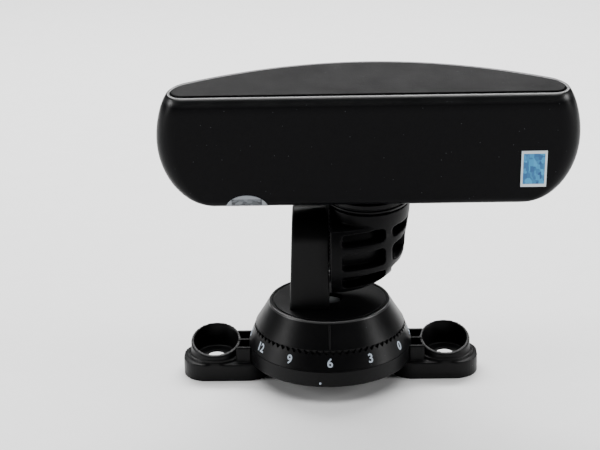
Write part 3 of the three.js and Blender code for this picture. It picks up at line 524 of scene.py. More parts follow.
# Glass-filled nylon elbow: slightly duller, with a coarser grain from the fibres.
ELBOW_NYLON = Plastic("glass filled black nylon", "#040405", "#070708", 0.42, 0.08, 1.4, 0.04, 0.08, 0.03)
# Polished collar: the one glossy moulding.
COLLAR_GLOSS = Plastic("polished black ABS", "#040405", "#060607", 0.24, 0.04, 3.0, 0.01, 0.1)
# Rubber foot and seals: no highlight at all, only a soft dark grey.
RUBBER = Plastic("matt black rubber", "#0c0c0c", "#161616", 0.85, 0.06, 0.9, 0.06, 0.3)
# Natural nylon washer: warm off-white with a soft sheen.
NYLON = Plastic("natural nylon", "#cfc9b8", "#bdb6a2", 0.5, 0.08, 1.0, 0.02)
# Zinc plated steel: a cool, slightly blurred metal reflection.
ZINC_STEEL = Plastic("zinc plated steel", "#a7aaad", "#8d9196", 0.32, 0.1, 0.5, 0.01, metallic=1.0)
# Black plated screws: dark metal that still catches the light.
BLACK_STEEL = Plastic("black zinc plated steel", "#1a1a1c", "#26272a", 0.36, 0.1, 0.5, 0.015, metallic=1.0)
# Solder mask: a deep green with the gloss of a thin lacquer.
SOLDER_MASK = Plastic("green solder mask", "#0e4a26", "#12602f", 0.35, 0.05, 1.2, 0.02)
# Microwave laminate: pale cream with a dull weave.
LAMINATE = Plastic("woven microwave laminate", "#d8cfb6", "#c6bc9f", 0.55, 0.06, 0.5, 0.02)
# Bare copper: a warm metal reflection.
COPPER = Plastic("bare copper foil", "#c07a48", "#a9653a", 0.3, 0.08, 0.6, 0.01, metallic=1.0)
# Tin plate: brighter than zinc, with soft streaks.
TIN = Plastic("tin plated steel", "#b9bcc0", "#a0a4aa", 0.3, 0.1, 0.8, 0.01, metallic=1.0)
# Moulded epoxy: matt charcoal chip bodies.
EPOXY = Plastic("moulded black epoxy", "#101012", "#18181a", 0.6, 0.05, 0.4, 0.02)
# Gold plated pins: small sharp yellow glints.
GOLD_PIN = Plastic("gold plated brass", "#c9a24a", "#b38d3c", 0.22, 0.05, 0.5, 0.005, metallic=1.0)
# Printing ink: flat grey-white numerals with no shine.
DIAL_INK = Plastic("white pad printing ink", "#b9c4d0", "#a3afbd", 0.55, 0.05, 0.4, 0.01)


@dataclass(frozen=True)
class PrintedFilm:
    """Printed film label: a pattern of soft blocks inside a plain border, read from the UV map.

    Attributes:
        name: the material's common name.
        border: colour of the border and the ground.
        print_a: main colour of the print.
        print_b: second colour of the print.
        roughness: how blurred reflections are.
        metallic: share of metal in the film.
        edge: width of the border as a share of the label.
        scale: number of printed cells across the label.
    """

    name: str
    border: str
    print_a: str
    print_b: str
    roughness: float
    metallic: float
    edge: float
    scale: float

    def build(self) -> bpy.types.Material:
        """Makes the Blender material."""
        material = bpy.data.materials.new(self.name)
        material.use_nodes = True
        tree = material.node_tree
        shader = tree.nodes["Principled BSDF"]
        uv = add_node(material, "ShaderNodeTexCoord").outputs["UV"]
        split = add_node(material, "ShaderNodeSeparateXYZ", {}, {"Vector": uv})
        inside = None
        for axis in ("X", "Y"):
            centred = add_node(material, "ShaderNodeMath", {"operation": "SUBTRACT"})
            tree.links.new(split.outputs[axis], centred.inputs[0])
            centred.inputs[1].default_value = 0.5
            distance = add_node(material, "ShaderNodeMath", {"operation": "ABSOLUTE"})
            tree.links.new(centred.outputs[0], distance.inputs[0])
            within = add_node(material, "ShaderNodeMath", {"operation": "LESS_THAN"})
            tree.links.new(distance.outputs[0], within.inputs[0])
            within.inputs[1].default_value = 0.5 - self.edge
            if inside is None:
                inside = within.outputs[0]
            else:
                both = add_node(material, "ShaderNodeMath", {"operation": "MULTIPLY"})
                tree.links.new(inside, both.inputs[0])
                tree.links.new(within.outputs[0], both.inputs[1])
                inside = both.outputs[0]
        cells = add_node(
            material,
            "ShaderNodeTexVoronoi",
            {"in:Scale": self.scale, "distance": "CHEBYCHEV"},
            {"Vector": uv},
        )
        level = add_node(
            material, "ShaderNodeSeparateColor", {}, {"Color": cells.outputs["Color"]}
        ).outputs["Red"]
        printed = add_node(material, "ShaderNodeMix", {"data_type": "RGBA"}, {"Factor": level})
        printed.inputs[6].default_value = linear(self.print_a)
        printed.inputs[7].default_value = linear(self.print_b)
        whole = add_node(material, "ShaderNodeMix", {"data_type": "RGBA"}, {"Factor": inside})
        whole.inputs[6].default_value = linear(self.border)
        tree.links.new(printed.outputs[2], whole.inputs[7])
        tree.links.new(whole.outputs[2], shader.inputs["Base Color"])
        shader.inputs["Roughness"].default_value = self.roughness
        shader.inputs["Metallic"].default_value = self.metallic
        return material


# Vinyl film: saturated blue blotches on white, with a light gloss.
STICKER_FILM = PrintedFilm("printed vinyl film", "#d2dee4", "#004a86", "#2f9fd4", 0.4, 0.0, 0.08, 7.0)
# Silver film: grey, half metallic, with a darker random print.
SILVER_FILM = PrintedFilm("silver polyester film", "#868b90", "#6b7075", "#2a2e32", 0.3, 0.3, 0.14, 11.0)


@dataclass
class Workshop:
    """Keeps the built materials and dresses pieces with them."""

    built: dict = field(default_factory=dict)

    def material(self, finish) -> bpy.types.Material:
        """Returns the material of a finish, made once."""
        if finish.name not in self.built:
            self.built[finish.name] = finish.build()
        return self.built[finish.name]

    def dress(self, obj: bpy.types.Object, finish) -> None:
        """Gives an object one material."""
        obj.data.materials.clear()
        obj.data.materials.append(self.material(finish))

    def dress_node(self, node: bpy.types.Object, finish) -> None:
        """Gives a CAD node's material slots one material, leaving its mesh as it is."""
        for slot in node.material_slots:
            slot.link = "OBJECT"
            slot.material = self.material(finish)

    def place(self, obj: bpy.types.Object, finish, body: Body, slot: Slot, *replaced: str) -> None:
        """Dresses a new piece and ties it to the frame.

        Args:
            obj: the new piece.
            finish: its finish.
            body: the body that it rides on.
            slot: the record's slot for the piece; not used.
            replaced: CAD nodes that it stands for.
        """
        self.dress(obj, finish)
        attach(obj, body.value)
        if replaced:
            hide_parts(*replaced)
        LOG.info("%s: %d faces", obj.name, len(obj.data.polygons))


# ------------------------------------------------------------------ antenna housing


def round_over(amount: float, distance: np.ndarray, span: float) -> np.ndarray:
    """Quarter-ellipse inset: nothing at distance = span and the full amount at distance = 0."""
    t = np.clip(1 - distance / span, 0, 1)
    return amount * (1 - np.sqrt(1 - t * t))


@dataclass
class AntennaHousing:
    """The D-shaped housing, its lid and its labels. Sizes in millimetres."""

    width: float = 178.6
    depth: float = 42.0
    height: float = 50.5
    end_depth: float = 18.0
    top_inset: float = 4.9
    belly_level: float = 29.0
    lower_corner: float = 21.0
    bottom_round: float = 4.0
    top_round_depth: float = 2.6
    top_round_height: float = 7.0
    lid_inset: float = 1.6
    lid_height: float = 3.0
    lid_proud: float = 0.5
    lid_edge: float = 0.5
    groove: float = 0.45
    wall: float = 2.6
    sticker_size: tuple = (10.8, 16.8)
    sticker_centre: tuple = (69.4, 17.3)
    oval_x: float = -51.7
    oval_half_width: float = 9.0
    oval_rise: float = 6.5
    oval_foot: float = 0.12
    corner_points: int = 40
    back_points: int = 96
    front_points: int = 60

    def outline(self, half: np.ndarray, front: np.ndarray, end_depth: np.ndarray) -> tuple:
        """Points of the D: straight front, half-round ends, and a parabola across the back.

        Args:
            half: half width of each ring.
            front: y of each ring's straight front.
            end_depth: depth of each ring at its ends.

        Returns:
            x and y arrays, one row for each ring.
        """
        half, front, end_depth = (np.atleast_1d(v).astype(float)[:, None] for v in (half, front, end_depth))
        radius = end_depth / 2
        turn = np.linspace(-math.pi / 2, math.pi / 2, self.corner_points)
        share = np.linspace(0, 1, self.back_points + 2)[1:-1]
        ahead = np.linspace(0, 1, self.front_points + 2)[1:-1]
        inner = half - radius
        x = np.concatenate(
            [
                inner + radius * np.cos(turn),
                inner * (1 - 2 * share),
                -inner - radius * np.cos(turn),
                inner * (2 * ahead - 1),
            ],
            axis=1,
        )
        y = np.concatenate(
            [
                radius * (1 + np.sin(turn)),
                end_depth + 0 * share,
                radius * (1 - np.sin(turn)),
                0 * ahead + 0 * inner,
            ],
            axis=1,
        )
        bulge = self.depth - self.end_depth
        arc = np.where(y > radius, bulge * (1 - (x / half) ** 2), 0)
        return x, front + y + arc

    def section(
        self, level: np.ndarray, inset: np.ndarray | float = 0.0, lift_to: np.ndarray | None = None
    ) -> np.ndarray:
        """Rings of the housing's outer surface at the given heights, drawn inwards by an inset.

        The half width loses a quarter ellipse below the belly and a square law above it; the depth
        loses a quarter ellipse at the lower edge and another at the crown.
        """
        level = np.atleast_1d(level).astype(float)
        low = round_over(self.lower_corner, level, self.belly_level)
        high = self.top_inset * np.clip(
            (level - self.belly_level) / (self.height - self.belly_level), 0, None
        ) ** 2
        edge = round_over(self.bottom_round, level, self.bottom_round)
        crown = round_over(self.top_round_depth, self.height - level, self.top_round_height)
        around = inset + edge + crown
        half = self.width / 2 - low - high - inset - crown * 0.3
        x, y = self.outline(half, -self.depth / 2 + around, self.end_depth - 2 * around)
        z = level if lift_to is None else lift_to
        return np.stack([x, y, np.broadcast_to(z[:, None], x.shape)], axis=-1)

    def lid_rings(self, inset: Sequence[float], height: Sequence[float]) -> np.ndarray:
        """Rings that follow the lid's outline at the given insets and heights."""
        inset = np.asarray(inset, dtype=float)
        around = self.top_round_depth + self.lid_inset + inset
        half = self.width / 2 - self.top_inset - self.top_round_depth * 0.3 - self.lid_inset - inset
        x, y = self.outline(half, -self.depth / 2 + around, self.end_depth - 2 * around)
        z = np.broadcast_to(np.asarray(height, dtype=float)[:, None], x.shape)
        return np.stack([x, y, z], axis=-1)

    def shell(self) -> bpy.types.Object:
        """Outer wall, rim, lid groove, ledge and inner wall, as one closed skin."""
        seat = self.height - self.lid_height
        t = np.linspace(0, 1, 16)
        lower = self.bottom_round * (1 - np.cos(t * math.pi / 2))
        middle = np.linspace(self.bottom_round, self.height - self.top_round_height, 44)[1:]
        crown = self.height - self.top_round_height * (1 - np.sin(t * math.pi / 2))
        outer = self.section(np.concatenate([lower, middle, crown[1:]]))
        rim = self.lid_rings(
            [-self.groove - 0.5, -self.groove - 0.12, -self.groove, -self.groove, 0.3, 2.2, 2.2],
            [
                self.height,
                self.height - 0.04,
                self.height - 0.2,
                seat - 0.7,
                seat - 0.9,
                seat - 0.9,
                seat - 4,
            ],
        )
        inner = self.section(np.array([seat - 5, 40.0, 30.0, 20.0, 10.0, 5.0]), self.wall)
        floor = self.section(np.array([self.wall + 0.8]), self.wall)
        rings = np.concatenate([outer, rim, inner, floor])
        # A highlight is painted on the crown's top rings and the rim above the lid groove, fading in over the
        # two rings below them.
        painted_highlight = np.zeros(len(rings))
        painted_highlight[len(outer) - 8 : len(outer) + 3] = 1.0
        painted_highlight[len(outer) - 10 : len(outer) - 8] = (0.2, 0.6)
        shell = ring_skin("housing_shell", TILT.from_head(rings))
        return paint_highlight_rings(shell, painted_highlight, rings.shape[1])

    def lid(self) -> bpy.types.Object:
        """Flat lid with a small rounded edge and a face that is very slightly crowned."""
        seat = self.height - self.lid_height
        top = self.height + self.lid_proud
        t = np.linspace(0, math.pi / 2, 8)
        inset = np.concatenate([[0.4, 0.0], self.lid_edge * (1 - np.cos(t)), [1.2, 3.0]])
        height = np.concatenate(
            [[seat, seat + 0.4], top - self.lid_edge * (1 - np.sin(t)), [top + 0.02, top + 0.05]]
        )
        return ring_skin("lid_cover", TILT.from_head(self.lid_rings(inset, height)))

    def front_y(self, x: np.ndarray, z: np.ndarray, inset: float) -> np.ndarray:
        """Y of the front wall at a place on it: the section's straight front at that height."""
        edge = round_over(self.bottom_round, z, self.bottom_round)
        crown = round_over(self.top_round_depth, self.height - z, self.top_round_height)
        low = round_over(self.lower_corner, z, self.belly_level)
        around = inset + edge + crown
        radius = self.end_depth / 2 - around
        straight = self.width / 2 - low - inset - radius
        beyond = np.clip((np.abs(x) - straight) / radius, 0, 0.98)
        return -self.depth / 2 + around + radius * (1 - np.sqrt(1 - beyond**2))

    def label(self, name: str, x: np.ndarray, z: np.ndarray, uv: np.ndarray) -> bpy.types.Object:
        """Thin label that follows the front wall.

        Args:
            name: name of the piece.
            x: grid of places across the front.
            z: grid of heights.
            uv: grid of pattern coordinates.

        Returns:
            The label, 0.12 mm thick.
        """
        rows, columns = x.shape
        outer = np.stack([x, self.front_y(x, z, -0.22), z], axis=-1)
        inner = np.stack([x, self.front_y(x, z, -0.1), z], axis=-1)
        points = np.concatenate([outer.reshape(-1, 3), inner.reshape(-1, 3)])
        row, column = np.meshgrid(np.arange(rows - 1), np.arange(columns - 1), indexing="ij")
        at = row * columns + column
        front = np.stack([at, at + 1, at + columns + 1, at + columns], axis=-1).reshape(-1, 4)
        count = rows * columns
        back = front[:, ::-1] + count
        edge = np.concatenate(
            [
                np.arange(columns),
                (np.arange(1, rows) + 1) * columns - 1,
                (rows - 1) * columns + np.arange(columns - 2, -1, -1),
                np.arange(rows - 2, 0, -1) * columns,
            ]
        )
        after = np.roll(edge, -1)
        side = np.stack([after, edge, edge + count, after + count], axis=-1)
        faces = np.concatenate([front, back, side]).tolist()
        obj = make_object(name, TILT.from_head(points), faces)
        layer = obj.data.uv_layers.new(name="print")
        corners = np.empty(len(obj.data.loops), dtype=np.int32)
        obj.data.loops.foreach_get("vertex_index", corners)
        both = np.concatenate([uv.reshape(-1, 2), uv.reshape(-1, 2)])
        layer.data.foreach_set("uv", both[corners].ravel())
        return obj

    def sticker(self) -> bpy.types.Object:
        """Upright rectangular film at the lower right of the front."""
        u, v = np.meshgrid(np.linspace(0, 1, 25), np.linspace(0, 1, 33))
        (wide, tall), (x, z) = self.sticker_size, self.sticker_centre
        uv = np.stack([u, v], axis=-1)
        return self.label("sticker_film", x + wide * (u - 0.5), z + tall * (v - 0.5), uv)

    def oval(self) -> bpy.types.Object:
        """Upper half of an oval film that runs over the lower edge of the front."""
        u, v = np.meshgrid(np.linspace(-0.999, 0.999, 49), np.linspace(0, 1, 17))
        arch = np.sqrt(1 - u**2)
        uv = np.stack([(u + 1) / 2, 0.5 + 0.5 * v * arch], axis=-1)
        x = self.oval_x + self.oval_half_width * u
        z = self.oval_foot + v * (self.oval_rise * arch)
        return self.label("oval_film", x, z, uv)

    def build(self, shop: Workshop) -> None:
        """Makes and places the housing's pieces."""
        shop.place(self.shell(), HOUSING_ABS, Body.HEAD, Slot.TEXTURED, "housing")
        shop.place(self.lid(), LID_ABS, Body.HEAD, Slot.TEXTURED, "lid")
        shop.place(self.sticker(), STICKER_FILM, Body.HEAD, Slot.STICKER, "inspection_sticker")
        shop.place(self.oval(), SILVER_FILM, Body.HEAD, Slot.LABEL, "oval_label")


# ------------------------------------------------------------------ elbow and collar


@dataclass
class Elbow:
    """Knuckle that carries the housing, with recessed panels, and its polished collar."""

    face_x: float = 0.9
    radius: float = 26.0
    reach: float = 33.0
    fullness: float = 0.85
    neck_radius: float = 16.6
    collar_radius: float = 18.6
    top: float = 18.6
    pocket_depth: float = 5.0
    rib: float = 3.0
    ring_radius: float = 19.4
    ring_low: float = 18.9
    ring_high: float = 23.9
    bore: float = 9.0
    joint_radius: float = 12.0
    joint_depth: float = 1.8
    flange_radius: float = 21.5
    flange_teeth: int = 72
    rows: tuple = ((-16.5, -8.6), (-5.0, 3.2), (6.2, 11.4))
    shoulder: float = 13.2
    columns: tuple = ((5.6, 24.6), (27.6, 50.0))
    voxel: float = 0.4

    def dome(self, shrink: float) -> bpy.types.Object:
        """Round end turned about the tilt axis: radius is a power of the cosine of the turn along it."""
        angle = np.linspace(0, math.pi / 2, 40)[:-1]
        radius = (self.radius - shrink) * np.cos(angle) ** self.fullness
        reach = self.face_x + (self.reach - shrink) * np.sin(angle)
        path = np.stack(
            [np.append(radius, 0.05), np.append(reach, self.face_x + self.reach - shrink)], axis=-1
        )
        return ring_skin("elbow_dome", TILT.from_axis(along_x(turned(path, 120))))

    def neck(self, shrink: float, top: float) -> bpy.types.Object:
        """Upright neck that flares to the collar."""
        path = rounded_path(
            [
                (self.neck_radius - shrink, 0),
                (self.collar_radius - shrink, self.top * 0.7, 5),
                (self.collar_radius - shrink, top),
            ]
        )
        rings = turned(path, 120) + np.array([TILT.collar_x, 0, 0])
        return ring_skin("elbow_neck", TILT.from_axis(rings))

    def block(self, x: tuple, y: tuple, z: tuple) -> bpy.types.Object:
        """Plain cutting block between the given limits, in the tilting group."""
        outline = slab_outline(x[1] - x[0], y[1] - y[0], 0.05, (sum(x) / 2, sum(y) / 2), 2)
        return ring_skin("block", TILT.from_axis(np.stack([lift(outline, z[0]), lift(outline, z[1])])))

    def panel(self, row: tuple, column: tuple, side: int) -> bpy.types.Object:
        """Cutting block for one recessed panel, with round corners, on the front or the back."""
        outline = slab_outline(
            column[1] - column[0], row[1] - row[0], 1.8, (sum(column) / 2, sum(row) / 2), 8
        )
        near, far = side * self.rib / 2, side * (self.radius + 6)
        rings = [
            np.stack([outline[:, 0], np.full(len(outline), y), outline[:, 1]], axis=-1) for y in (near, far)
        ]
        return ring_skin("panel", TILT.from_axis(np.stack(rings)))

    def shoulder_relief(self) -> bpy.types.Object:
        """Ring that cuts the dome back to the neck above the shoulder."""
        inner, low, high = self.collar_radius, self.shoulder, self.top + 30
        path = np.array([(inner, low), (70.0, low), (70.0, high), (inner, high)])
        rings = turned(path, 120) + np.array([TILT.collar_x, 0, 0])
        return ring_skin("shoulder_relief", TILT.from_axis(rings), joined=True)

    def rod(self, radius: float, path: tuple, upright: bool) -> bpy.types.Object:
        """Cutting rod along X, or along Z through the neck."""
        rings = turned(np.array([(radius, path[0]), (radius, path[1])]), 64)
        rings = rings + np.array([TILT.collar_x, 0, 0]) if upright else along_x(rings)
        return ring_skin("rod", TILT.from_axis(rings))

    def body(self) -> bpy.types.Object:
        """Dome and neck melted together, cut flat at the joint and the collar, with its panels recessed."""
        solid = carve(self.dome(0), self.neck(0, self.top), "UNION")
        for row in self.rows:
            for column in self.columns:
                for side in (-1, 1):
                    panel = carve(self.panel(row, column, side), self.dome(self.pocket_depth))
                    solid = carve(solid, carve(panel, self.neck(self.pocket_depth, self.top + 1)))
        solid = carve(solid, self.block((-20, 80), (-50, 50), (self.top, 60)))
        solid = carve(solid, self.shoulder_relief())
        solid = carve(solid, self.rod(self.bore, (-5.5, self.top + 2), True))
        solid = carve(
            solid, self.rod(self.joint_radius, (self.face_x - 2, self.face_x + self.joint_depth), False)
        )
        solid = carve(solid, self.rod(3.3, (self.face_x - 2, self.face_x + 12), False))
        solid.name = "elbow_knuckle"
        return moulded(solid, self.voxel, 3)

    def face_teeth(self) -> bpy.types.Object:
        """Fine radial teeth on the joint face, a triangle wave in X round the tilt axis."""
        count = self.flange_teeth * 8
        angle = np.arange(count) * (2 * math.pi / count)
        wave = np.abs(((angle * self.flange_teeth / (2 * math.pi)) % 1) * 2 - 1)
        crest = self.face_x - 0.25 - 0.5 * wave
        rows = [
            (self.joint_radius + 0.8, 0 * wave + self.face_x + 0.6),
            (self.flange_radius, 0 * wave + self.face_x + 0.6),
        ]
        rows += [
            (self.flange_radius, crest + 0.08),
            (self.flange_radius - 0.1, crest),
            (self.joint_radius + 0.8, crest),
        ]
        rings = [np.stack([x, r * np.sin(angle), r * np.cos(angle)], axis=-1) for r, x in rows]
        obj = ring_skin("joint_face_teeth", TILT.from_axis(np.stack(rings)), joined=True)
        obj.data.set_sharp_from_angle(angle=math.radians(35))
        return obj

    def collar(self) -> bpy.types.Object:
        """Polished ring under the housing, with a shallow waist that catches the light twice."""
        low, high, radius = self.ring_low, self.ring_high, self.ring_radius
        path = rounded_path(
            [
                (self.bore, low), (radius - 1.2, low, 0.3),
                (radius, low + 1.1, 0.7), (radius, low + 1.9, 0.3),
                (radius - 0.5, low + 2.3, 0.3), (radius - 0.5, low + 2.7, 0.3), (radius, low + 3.1, 0.4),
                (radius, high, 0.35), (radius - 1, high), (self.bore, high),
            ],
            7,
        )
        rings = turned(path, 160) + np.array([TILT.collar_x, 0, 0])
        return ring_skin("collar_band", TILT.from_axis(rings), joined=True)

    def build(self, shop: Workshop) -> None:
        """Makes and places the elbow's pieces."""
        shop.place(self.body(), ELBOW_NYLON, Body.HEAD, Slot.TEXTURED, "elbow")
        shop.place(self.face_teeth(), ELBOW_NYLON, Body.HEAD, Slot.MOULDED)
        shop.place(self.collar(), COLLAR_GLOSS, Body.HEAD, Slot.MOULDED, "collar_ring")


# ------------------------------------------------------------------ turntable and post


@dataclass
class Turntable:
    """Turning cone with its rim groove, and the flat post that stands on it."""

    bottom_radius: float = 33.6
    seam_z: float = 23.9
    top_radius: float = 27.3
    top_z: float = 34.8
    skirt_radius: float = 33.0
    skirt_z: float = 20.7
    lip_radius: float = 29.4
    wall: float = 2.6
    hub_radius: float = 11.0
    floor_z: float = 18.3
    bore: float = 3.2
    pocket: float = 5.8
    pocket_z: float = 28.1
    post_foot: float = 17.6
    post_top: float = 15.8
    half_depth: float = 13.6
    counterbore: float = 6.0
    seat: float = 9.0
    joint_radius: float = 12.0
    joint_depth: float = 0.8

    def cone(self) -> bpy.types.Object:
        """Turned skin: flat top, groove, rounded chamfer, cone, and the hollow below."""
        top, edge = self.top_z, self.top_radius
        path = rounded_path(
            [
                (self.pocket, top), (self.pocket + 1, top),
                (edge - 2.3, top, 0.15), (edge - 2.2, top - 0.6, 0.1),
                (edge - 1.6, top - 0.6, 0.1), (edge - 1.5, top, 0.15),
                (edge - 0.45, top, 0.35), (edge, top - 0.6, 0.35),
                (edge + 2.5, top - 4.9), (self.bottom_radius, self.seam_z, 0.25),
                (self.bottom_radius - 0.6, self.seam_z),
                (self.skirt_radius, self.seam_z, 0.2), (self.skirt_radius, self.skirt_z, 0.3),
                (self.lip_radius, self.skirt_z, 0.3), (self.lip_radius, self.seam_z, 0.5),
                (edge - self.wall, top - self.wall, 0.5), (self.hub_radius, top - self.wall, 0.5),
                (self.hub_radius, self.floor_z, 0.3),
                (self.bore, self.floor_z, 0.2), (self.bore, self.pocket_z),
                (self.pocket, self.pocket_z),
            ]
        )
        rings = turned(path, 240)
        # A highlight is painted on the rings of the rounded rim chamfer.
        painted_rim_highlight = (np.abs(path[:, 0] - edge) < 0.6) & (path[:, 1] > top - 0.9)
        return paint_highlight_rings(
            ring_skin("turntable_cone", rings, joined=True), painted_rim_highlight.astype(float), rings.shape[1]
        )

    def index_mark(self) -> bpy.types.Object:
        """Raised line down the front of the cone, for reading the dial."""
        rise = np.array([-0.12, 0.16, 0.2, 0.16, -0.12])
        across = np.array([-0.42, -0.26, 0.0, 0.26, 0.42])
        share = np.linspace(0.06, 0.97, 12)[:, None]
        radius = self.bottom_radius + (self.top_radius - self.bottom_radius) * share
        height = self.seam_z + (self.top_z - 0.6 - self.seam_z) * share
        slope = math.atan2(self.bottom_radius - self.top_radius, self.top_z - 0.6 - self.seam_z)
        distance = radius + rise * math.cos(slope)
        points = np.stack([across + 0 * share, -distance, height + rise * math.sin(slope)], axis=-1)
        return ring_skin("index_mark", points)

    def post_blank(self) -> bpy.types.Object:
        """Slab with an arched top: the outline shrinks near both faces, which rounds their edges."""
        arch = np.linspace(0, math.pi, 48)
        base = self.top_z + 0.02

        def outline(inset: float) -> tuple:
            half = self.half_depth - inset
            y = np.concatenate(
                [np.linspace(-half, half, 20), np.full(20, half), half * np.cos(arch), np.full(20, -half)]
            )
            side = np.linspace(base + inset * 0.3, TILT.axis_z, 21)
            z = np.concatenate(
                [np.full(20, side[0]), side[1:], TILT.axis_z + half * np.sin(arch), side[::-1][1:]]
            )
            return y, z

        rings = []
        turn = np.linspace(0, math.pi / 2, 7)
        for inset, off in [*zip(1.1 * (1 - np.sin(turn)), 1.1 * (1 - np.cos(turn))), (0, 6.0)]:
            y, z = outline(inset)
            lean = (self.post_foot - self.post_top) * (z - base) / (TILT.axis_z + self.half_depth - base)
            rings.append(np.stack([-self.post_foot + lean + off, y, z], axis=-1))
        for inset, off in zip(0.4 * (1 - np.cos(turn)), 0.4 * (1 - np.sin(turn))):
            y, z = outline(inset)
            rings.append(np.stack([0 * y - off, y, z], axis=-1))
        return ring_skin("post_slab", np.stack(rings))

    def post(self) -> bpy.types.Object:
        """Post with the tilt screw's counterbore and the pocket for its tooth ring."""

        def rod(radius: float, low: float, high: float) -> bpy.types.Object:
            rings = along_x(turned(np.array([(radius, low), (radius, high)]), 72))
            return ring_skin("rod", rings + np.array([0, 0, TILT.axis_z]))

        slab = self.post_blank()
        slab = carve(slab, rod(self.counterbore, -30, -self.seat))
        slab = carve(slab, rod(3.3, -12, 3))
        slab = carve(slab, rod(self.joint_radius, -self.joint_depth, 3))
        slab.data.set_sharp_from_angle(angle=math.radians(40))
        return slab

    def build(self, shop: Workshop) -> None:
        """Makes and places the turntable's pieces."""
        shop.place(self.cone(), STAND_ABS, Body.TABLE, Slot.MOULDED, "turntable")
        shop.place(self.index_mark(), STAND_ABS, Body.TABLE, Slot.MOULDED)
        shop.place(self.post(), STAND_ABS, Body.TABLE, Slot.MOULDED, "post")


# ------------------------------------------------------------------ base


@dataclass
class DialBase:
    """Fixed ring with the toothed edge and the printed numbers, on a low skirt."""

    low_radius: float = 36.8
    low_z: float = 15.2
    top_radius: float = 33.6
    rise: float = 8.4
    tooth: float = 1.6
    teeth: int = 72
    wall: float = 1.3
    floor_z: float = 8.0
    hub_wall: float = 3.0
    bearing_radius: float = 11.0
    bearing_height: float = 6.0
    bore: float = 3.3
    digit_height: float = 3.9
    digit_level: float = 4.0
    numbers: tuple = (6, 3, 0, 33, 30, 27, 24, 21, 18, 15, 12, 9)

    def ring(self) -> bpy.types.Object:
        """Cone whose upper edge is a triangle wave round the ring."""
        count = self.teeth * 16
        angle = np.arange(count) * (2 * math.pi / count)
        wave = np.abs(((angle * self.teeth / (2 * math.pi)) % 1) * 2 - 1)
        top = self.rise - self.tooth * np.clip((1 - wave) * 1.08 - 0.04, 0, 1)
        slope = (self.low_radius - self.top_radius) / self.rise
        rows = [(self.low_radius - self.wall * 2, 0 * top)]
        rows += [(self.low_radius - 0.3, 0 * top), (self.low_radius - 0.06, 0 * top + 0.22)]
        for share in np.linspace(0.1, 1, 8):
            level = top * share if share < 1 else top - 0.12
            rows.append((self.low_radius - slope * level, level))
        rows.append((self.low_radius - slope * top - 0.14, top))
        rows.append((self.low_radius - slope * top - self.wall / 3, top))
        rows.append((self.low_radius - self.wall * 2 + 0.6 - slope * top * 0.5, top * 0.5))
        rings = [
            np.stack([r * np.cos(angle), r * np.sin(angle), self.low_z + z], axis=-1)
            for r, z in rows
        ]
        obj = ring_skin("dial_scale_ring", np.stack(rings), joined=True)
        obj.data.set_sharp_from_angle(angle=math.radians(35))
        return obj

    def numeral(self, text: str, turn: float) -> bpy.types.Object:
        """One printed number, bent round the cone.

        Args:
            text: the number.
            turn: its place round the ring, in degrees from the front.

        Returns:
            Closed mesh of the number, 0.08 mm proud of the cone.
        """
        curve = bpy.data.curves.new("numeral", "FONT")
        curve.body = text
        curve.align_x = "CENTER"
        curve.size = 1.0
        curve.extrude = 0.02
        curve.offset = 0.02
        writing = bpy.data.objects.new("numeral", curve)
        bpy.context.scene.collection.objects.link(writing)
        mesh = bpy.data.meshes.new_from_object(writing.evaluated_get(bpy.context.evaluated_depsgraph_get()))
        bpy.data.objects.remove(writing)
        flat = np.empty(len(mesh.vertices) * 3)
        mesh.vertices.foreach_get("co", flat)
        flat = flat.reshape(-1, 3)
        scale = self.digit_height / 0.72
        slope = math.atan2(self.low_radius - self.top_radius, self.rise)
        along = self.digit_level - self.digit_height / 2 + flat[:, 1] * scale + 0.2
        proud = np.where(flat[:, 2] > 0, 0.09, -0.12)
        radius = self.low_radius - along * math.sin(slope) + proud * math.cos(slope)
        height = self.low_z + along * math.cos(slope) + proud * math.sin(slope)
        angle = flat[:, 0] * scale / self.low_radius + math.radians(turn - 90)
        points = np.stack([radius * np.cos(angle), radius * np.sin(angle), height], axis=-1)
        faces = [list(face.vertices) for face in mesh.polygons]
        obj = make_object("numeral_" + text, points, faces)
        obj.data.polygons.foreach_set("use_smooth", np.zeros(len(faces), dtype=bool))
        weld = obj.modifiers.new("weld", "WELD")
        weld.merge_threshold = 0.004 * MM
        return finished_mesh(obj)

    def numerals(self) -> bpy.types.Object:
        """All the numbers, every thirty degrees."""
        marks = [self.numeral(str(number), index * 30.0) for index, number in enumerate(self.numbers)]
        obj = joined("dial_numbers", marks)
        obj.data.polygons.foreach_set("use_smooth", np.zeros(len(obj.data.polygons), dtype=bool))
        return obj

    def skirt(self) -> bpy.types.Object:
        """Turned skirt with a drawn-in foot, open above, round the bearing boss."""
        inner = self.low_radius - self.hub_wall
        floor = self.floor_z + self.hub_wall
        path = rounded_path(
            [
                (self.bore, self.floor_z), (self.low_radius - 3, self.floor_z),
                (self.low_radius, self.floor_z, 0.7),
                (self.low_radius, self.floor_z + 3), (self.low_radius, self.low_z, 0.3),
                (self.low_radius - 1, self.low_z),
                (inner, self.low_z, 0.2), (inner, floor, 1), (self.bearing_radius, floor, 0.8),
                (self.bearing_radius, floor + self.bearing_height, 0.4),
                (self.bore, floor + self.bearing_height, 0.2),
            ]
        )
        return ring_skin("hub_skirt", turned(path, 240), joined=True)

    def witness_dot(self) -> bpy.types.Object:
        """Small paint dot low on the front of the skirt."""
        angle = np.arange(24) * (2 * math.pi / 24)
        rows = []
        for radius, proud in ((0.5, -0.1), (0.5, 0.06), (0.3, 0.14), (0.05, 0.16)):
            x = -4.4 + radius * np.cos(angle)
            z = 9.9 + radius * np.sin(angle)
            rows.append(np.stack([x, -np.sqrt((self.low_radius + proud) ** 2 - x**2), z], axis=-1))
        return ring_skin("witness_dot", np.stack(rows))

